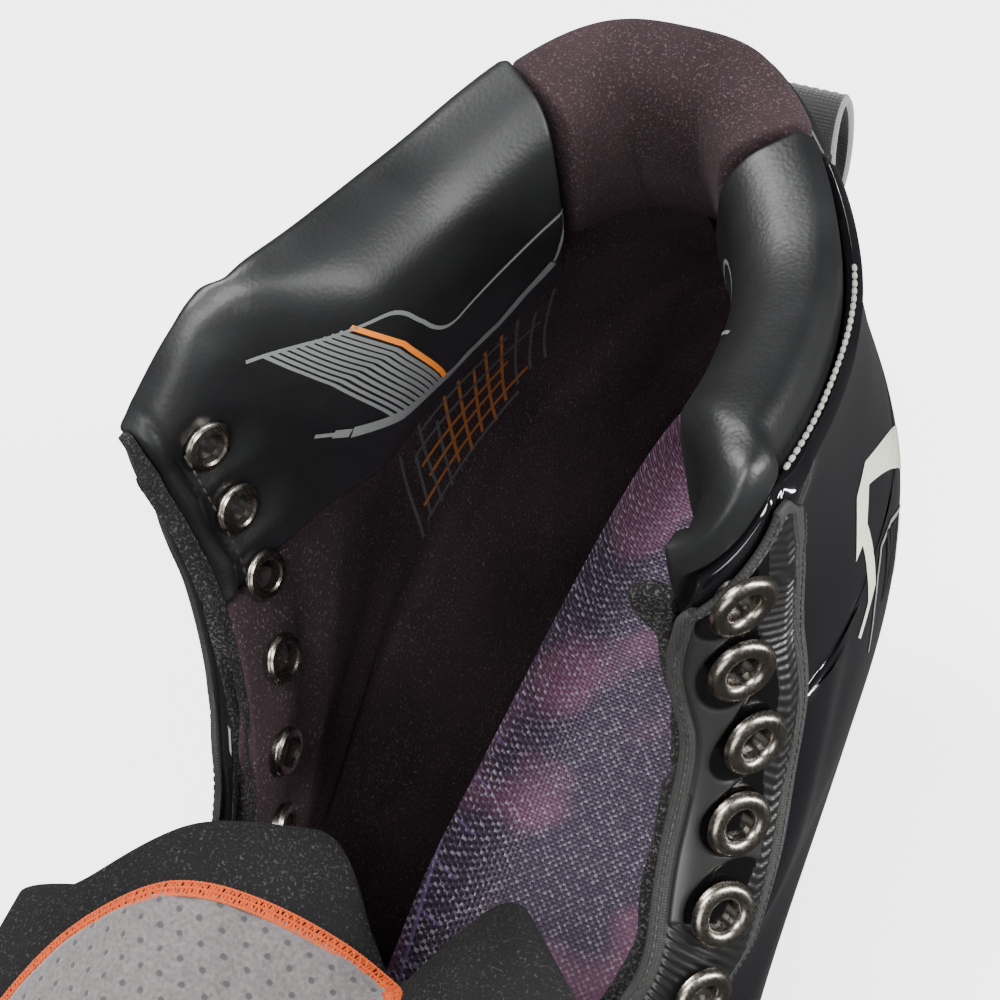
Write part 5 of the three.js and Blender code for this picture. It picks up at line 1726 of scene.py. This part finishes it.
def solePiece(name, low, high, margin, start, end, radius, material, slot, node):
    s, r = np.meshgrid(clustered(150, 0.4), clustered(60, 0.5))
    along = mix(start, end, s)
    a, b = wall(along, 0 * along, margin), wall(2 - along, 0 * along, margin)
    point = mix(a, b, r[..., None])
    point[..., 2] = floorAt(point[..., 1])
    full = mix(0.2, 1, edgeRound(point, (radius,) * 4))
    faces = []
    for level in (high, low):
        face = point.copy()
        face[..., 2] += (low + high) / 2 + (level - (low + high) / 2) * full
        faces.append(face.reshape(-1, 3))
    flat = point[..., :2].reshape(-1, 2)
    piece = newPiece(name, np.concatenate(faces), slabFaces(*s.shape), np.concatenate([flat, flat]))
    faceOut(piece)
    return finishPiece(piece, material, slot, "boot", [node], 50)


# An outline in the YZ plane, drawn out along X.
def profilePiece(name, outline, width, bevel, segments=2):
    points = [(-width / 2, y, z) for y, z in outline] + [(width / 2, y, z) for y, z in outline]
    count = len(outline)
    mesh = bpy.data.meshes.new(name)
    faces = [tuple(range(count))[::-1], tuple(range(count, 2 * count))]
    faces += [(k, (k + 1) % count, (k + 1) % count + count, k + count) for k in range(count)]
    mesh.from_pydata([tuple(c * mm for c in p) for p in points], [], faces)
    piece = bpy.data.objects.new(name, mesh)
    bpy.context.scene.collection.objects.link(piece)
    faceOut(piece)
    if bevel:
        addModifier(piece, "BEVEL", width=bevel * mm, segments=segments, limit_method="ANGLE",
                    angle_limit=math.radians(50))
    return piece


def towerPiece(middle, flangeZ, flangeLength):
    length, width, beam = holderLook["towerLength"], holderLook["towerWidth"], holderLook["beamWidth"]
    rings = [(flangeZ, flangeLength, width), (flangeZ - 3.6, flangeLength, width),
             (flangeZ - 6.2, length * 0.92, width * 0.6),
             (mix(holderLook["beamTop"], flangeZ, 0.42), length * 0.8, beam * 1.9),
             (holderLook["beamTop"], length * 0.95, beam), (holderLook["beamFoot"] + 3, length * 1.05, beam * 0.9)]
    around, points = 72, []
    for z, long_, wide in rings:
        angle = 2 * math.pi * np.arange(around) / around
        x = wide / 2 * np.sign(np.cos(angle)) * np.abs(np.cos(angle)) ** 0.62
        y = middle + long_ / 2 * np.sign(np.sin(angle)) * np.abs(np.sin(angle)) ** 0.62
        points += list(zip(x, y, np.full(around, z)))
    faces = [tuple(range(around))[::-1], tuple(range((len(rings) - 1) * around, len(rings) * around))]
    for k in range(len(rings) - 1):
        faces += [(k * around + i, k * around + (i + 1) % around, (k + 1) * around + (i + 1) % around,
                   (k + 1) * around + i) for i in range(around)]
    mesh = bpy.data.meshes.new("tower")
    mesh.from_pydata([tuple(c * mm for c in p) for p in points], [], faces)
    piece = bpy.data.objects.new("tower", mesh)
    bpy.context.scene.collection.objects.link(piece)
    faceOut(piece)
    return piece


def cutWith(piece, cutter):
    addModifier(piece, "BOOLEAN", operation="DIFFERENCE", object=cutter, solver="EXACT")
    bpy.data.objects.remove(cutter)


def crossPin(y, z, diameter, length, x=0.0):
    deselectAll()
    bpy.ops.mesh.primitive_cylinder_add(vertices=48, radius=diameter / 2 * mm, depth=length * mm,
                                        location=(x * mm, y * mm, z * mm), rotation=(0, math.pi / 2, 0))
    bpy.ops.object.transform_apply(location=True, rotation=True, scale=True)
    return bpy.context.object


def makeHolder():
    half = runnerLook["length"] / 2
    foot, top = holderLook["beamFoot"], holderLook["beamTop"]
    inset = holderLook["inset"]
    beam = profilePiece("holder_moulding", [
        (-half + 12, foot + 3), (-half + 30, foot), (half - 30, foot), (half - 12, foot + 3), (half - 10, top - 4),
        (half - 22, top + 3), (inset + 20, top), (-inset - 20, top), (-half + 24, top + 2), (-half + 11, top - 4)],
        holderLook["beamWidth"], 1.6, 3)
    for sign, extra in ((-1, 20), (1, -2)):
        flangeFloor = float(floorAt(sign * inset - holderLook["towerLength"] / 2))
        flangeZ = flangeFloor - holderLook["soleThickness"] - boot["gap"]
        tower = towerPiece(sign * inset, flangeZ, holderLook["towerLength"] + extra)
        addModifier(beam, "BOOLEAN", operation="UNION", object=tower, solver="EXACT")
        bpy.data.objects.remove(tower)
    addModifier(beam, "REMESH", mode="VOXEL", voxel_size=holderLook["voxel"])
    addModifier(beam, "SMOOTH", factor=0.6, iterations=9)
    end, slotTop = half + 5, runnerLook["height"] + boot["gap"]
    cutWith(beam, profilePiece("slot", [(-end, -5), (end, -5), (end, slotTop), (-end, slotTop)],
                               runnerLook["thickness"] + 2 * boot["gap"], 0))
    for sign in (-1, 1):
        for side in (-1, 1):
            cutWith(beam, crossPin(sign * inset, runnerLook["height"] - 5, 10.2, 20, side * (13.8)))
    return finishPiece(beam, holderWhite, "holder", "boot", ["blade_holder"], 45)


def makeRunner():
    half, contact = runnerLook["length"] / 2, runnerLook["contact"] / 2
    foot = [(y, max(0, abs(y) - contact) ** 2 / (2 * runnerLook["rocker"]))
            for y in np.linspace(-0.86, 0.86, 61) * half]
    height = runnerLook["height"]
    tail = [(half - 8, 4), (half - 3, 7), (half, 10), (half - 0.6, 16), (half - 2, height - 5)]
    top = [(half - 5, height - 1.5), (half - 10, height), (-half + 10, height), (-half + 4, height - 1.5)]
    nose = [(-half + 1, height - 4), (-half, 14), (-half + 3, 8.5), (-half + 8, 5)]
    blade = profilePiece("runner_blade", foot + tail + top + nose, runnerLook["thickness"], runnerLook["bevel"], 2)
    for sign in (-1, 1):
        cutWith(blade, crossPin(sign * holderLook["inset"], height - 5, 5.8, 40))
    return finishPiece(blade, bladeSteel, "blade_steel", "boot", ["runner"], 30)


# An outline of (radius, height) turned about Z, in millimetres.
def turnedPiece(name, outline, segments=36):
    deselectAll()
    mesh = bpy.data.meshes.new(name)
    mesh.from_pydata([(x * mm, 0, z * mm) for x, z in outline], [(k, k + 1) for k in range(len(outline) - 1)], [])
    piece = bpy.data.objects.new(name, mesh)
    bpy.context.scene.collection.objects.link(piece)
    makeActive(piece)
    bpy.ops.object.mode_set(mode="EDIT")
    bpy.ops.mesh.select_all(action="SELECT")
    bpy.ops.mesh.spin(steps=segments, angle=2 * math.pi, center=(0, 0, 0), axis=(0, 0, 1))
    bpy.ops.mesh.select_all(action="SELECT")
    bpy.ops.mesh.remove_doubles(threshold=1e-6)
    bpy.ops.mesh.normals_make_consistent(inside=False)
    bpy.ops.object.mode_set(mode="OBJECT")
    return piece


def aim(piece, place_, direction):
    turn = Vector(direction).to_track_quat("Z", "Y").to_matrix().to_4x4()
    piece.data.transform(Matrix.Translation(Vector(place_)) @ turn)


def makeFasteners():
    boltZ, seat = runnerLook["height"] - 5, holderLook["beamWidth"] / 2 - 1.2
    for label, y in (("front", -holderLook["inset"]), ("rear", holderLook["inset"])):
        head = [(0.001, 1.2), (2.1, 1.2), (2.3, 2.55), (3.9, 2.5), (4.3, 2.2), (4.5, 1.7), (4.5, 0.1),
                (4.3, 0), (2.5, 0), (2.5, -8.4), (2.2, -8.8), (0.001, -8.8)]
        bolt = turnedPiece(f"bolt_{label}_steel", head)
        aim(bolt, ((seat + boot["gap"]) * mm, y * mm, boltZ * mm), (1, 0, 0))
        finishPiece(bolt, fastenerSteel, "fastener", "boot", [f"runner_bolt_{label}"], 35)
        barrel = [(2.95, 0), (2.95, 3.4), (3.9, 3.4), (4.45, 3.0), (4.45, 0.4), (3.9, 0), (2.95, 0)]
        nut = turnedPiece(f"nut_{label}_steel", barrel, 6)
        aim(nut, (-(seat + boot["gap"]) * mm, y * mm, boltZ * mm), (-1, 0, 0))
        finishPiece(nut, fastenerSteel, "fastener", "boot", [f"runner_nut_{label}"], 20)
    dome = [(0.001, -2.0), (1.6, -1.9), (3.0, -1.5), (3.7, -0.9), (4.0, -0.1), (3.8, 0), (2.0, 0), (2.0, 7.6),
            (1.8, 8.0), (0.001, 8.0)]
    for number in range(1, 9):
        low, high = [np.array(v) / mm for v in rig.box(f"rivet_{number}")]
        piece = turnedPiece(f"rivet_{number}_dome", dome)
        aim(piece, ((low[0] + high[0]) / 2 * mm, (low[1] + high[1]) / 2 * mm, (low[2] + 2.0) * mm), (0, 0, 1))
        finishPiece(piece, fastenerSteel, "fastener", "boot", [f"rivet_{number}"], 35)


solePiece("sole_plate", -5, -0.4, 1.5, 0.03, 0.97, 1.6, soleBlack, "sole", "outsole")
makeHolder()
makeRunner()
makeFasteners()
makeCap("toe_lining_felt", 3.4, 5.4, 0.3, feltBlack, "felt", "toe_lining")
nodes["insole_board"].data.materials.clear()
nodes["insole_board"].data.materials.append(boardBrown)
print("sole, holder and runner made")


# Trim on the shell.
def shellLine(side, pairs, depth, smooth=2):
    walked, height = evenly(rounded(pairs, smooth), 0.8).T
    turn = toTurn(side, aroundAt(side, walked, height))
    return wall(turn, height, depth), skinNormal(turn, height)


# A flat printed shape: its outline is filled, then laid on the shell.
def patchPiece(name, side, outline, depth, target, material, slot, lift=0.12):
    fill = np.array(outline, float)
    mesh = bpy.data.meshes.new(name)
    mesh.from_pydata([(x * mm, y * mm, 0) for x, y in fill], [], [tuple(range(len(fill)))])
    piece = bpy.data.objects.new(name, mesh)
    bpy.context.scene.collection.objects.link(piece)
    makeActive(piece)
    bpy.ops.object.mode_set(mode="EDIT")
    bpy.ops.mesh.select_all(action="SELECT")
    bpy.ops.mesh.quads_convert_to_tris()
    bpy.ops.object.mode_set(mode="OBJECT")
    for _ in range(4):
        addModifier(piece, "SUBSURF", levels=1, render_levels=1, subdivision_type="SIMPLE")
    flat = np.array([v.co for v in piece.data.vertices]) / mm
    turn = toTurn(side, aroundAt(side, flat[:, 0], flat[:, 1]))
    piece.data.vertices.foreach_set("co", (wall(turn, flat[:, 1], depth - lift) * mm).ravel())
    piece.data.update()
    layOn(piece, target, lift)
    return finishPiece(piece, material, slot, "boot")


trimLook = {"bead": 0.42, "beadPitch": 1.5}
shellNow = {side: bpy.data.objects[f"quarter_shell_{side}"] for side in ("lateral", "medial")}


def makeTrim():
    for side in ("lateral", "medial"):
        bar = [(72, 100.5), (75.5, 104), (41, 127), (41, 122.4)]
        leg = [(41, 122.4), (41, 127), (35.4, 126), (31.6, 117.6), (34.9, 117.4), (37.8, 118.4)]
        low = [(34.9, 117.4), (37.8, 118.4), (42, 106.2), (36.4, 103.0), (34.6, 104.4), (38.2, 106.4)]
        for number, outline in enumerate((bar, leg, low), 1):
            patchPiece(f"shell_stripe_{side}_{number}", side, outline, 0, shellNow[side], printPale, "shell")
        inner = shellLine(side, [(70, 98), (45.5, 111), (42.5, 104.5), (48.5, 94)], -0.3, 1)
        line = ribbon(f"shell_line_{side}", [inner], 0.8)
        layOn(line, shellNow[side], 0.12)
        finishPiece(line, printGrey, "shell", "boot")
        ribs = [shellLine(side, [(49 + 3.0 * k, 108.5 - 1.6 * k), (54 + 3.0 * k, 96 - 1.2 * k)], -0.2, 0)
                for k in range(7)]
        lines = ribbon(f"shell_ribs_{side}", ribs, 1.1)
        layOn(lines, shellNow[side], 0.2)
        finishPiece(lines, guardBlack, "shell", "boot")
        # bead piping where the pad turns over the shell
        walked = np.linspace(14, 56, 160)
        rim = quarterTop(walked) + 0.7
        turn = toTurn(side, aroundAt(side, walked, rim))
        spots = evenly(wall(turn, rim, 1.3), trimLook["beadPitch"])
        middle = (spots[:-1] + spots[1:]) / 2
        step = (spots[1:] - spots[:-1]) * 0.36
        bead = threads(f"pad_beading_{side}", list(middle - step), list(middle + step), trimLook["bead"], 7)
        finishPiece(bead, threadPale, "shell", "boot")
        height = np.linspace(padFootAt(8) + 4, 150, 200)
        walked = edgeLine(side, -9.0, height) + 4.8
        turn = toTurn(side, aroundAt(side, walked, height))
        spots = evenly(wall(turn, height, padInner(side, walked, height) + 0.15), 2.0)
        stitch = threads(f"pad_stitches_{side}", list(spots[:-1]), list(mix(spots[:-1], spots[1:], 0.55)), 0.22)
        finishPiece(stitch, threadBlack, "pad_leather", "boot")


makeTrim()
print("trim made")

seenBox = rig.bounds()
with open("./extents.json", "w") as file:
    json.dump({"cad": [list(corner) for corner in cadBox], "visual": [list(corner) for corner in seenBox]}, file)
print("sizes written")
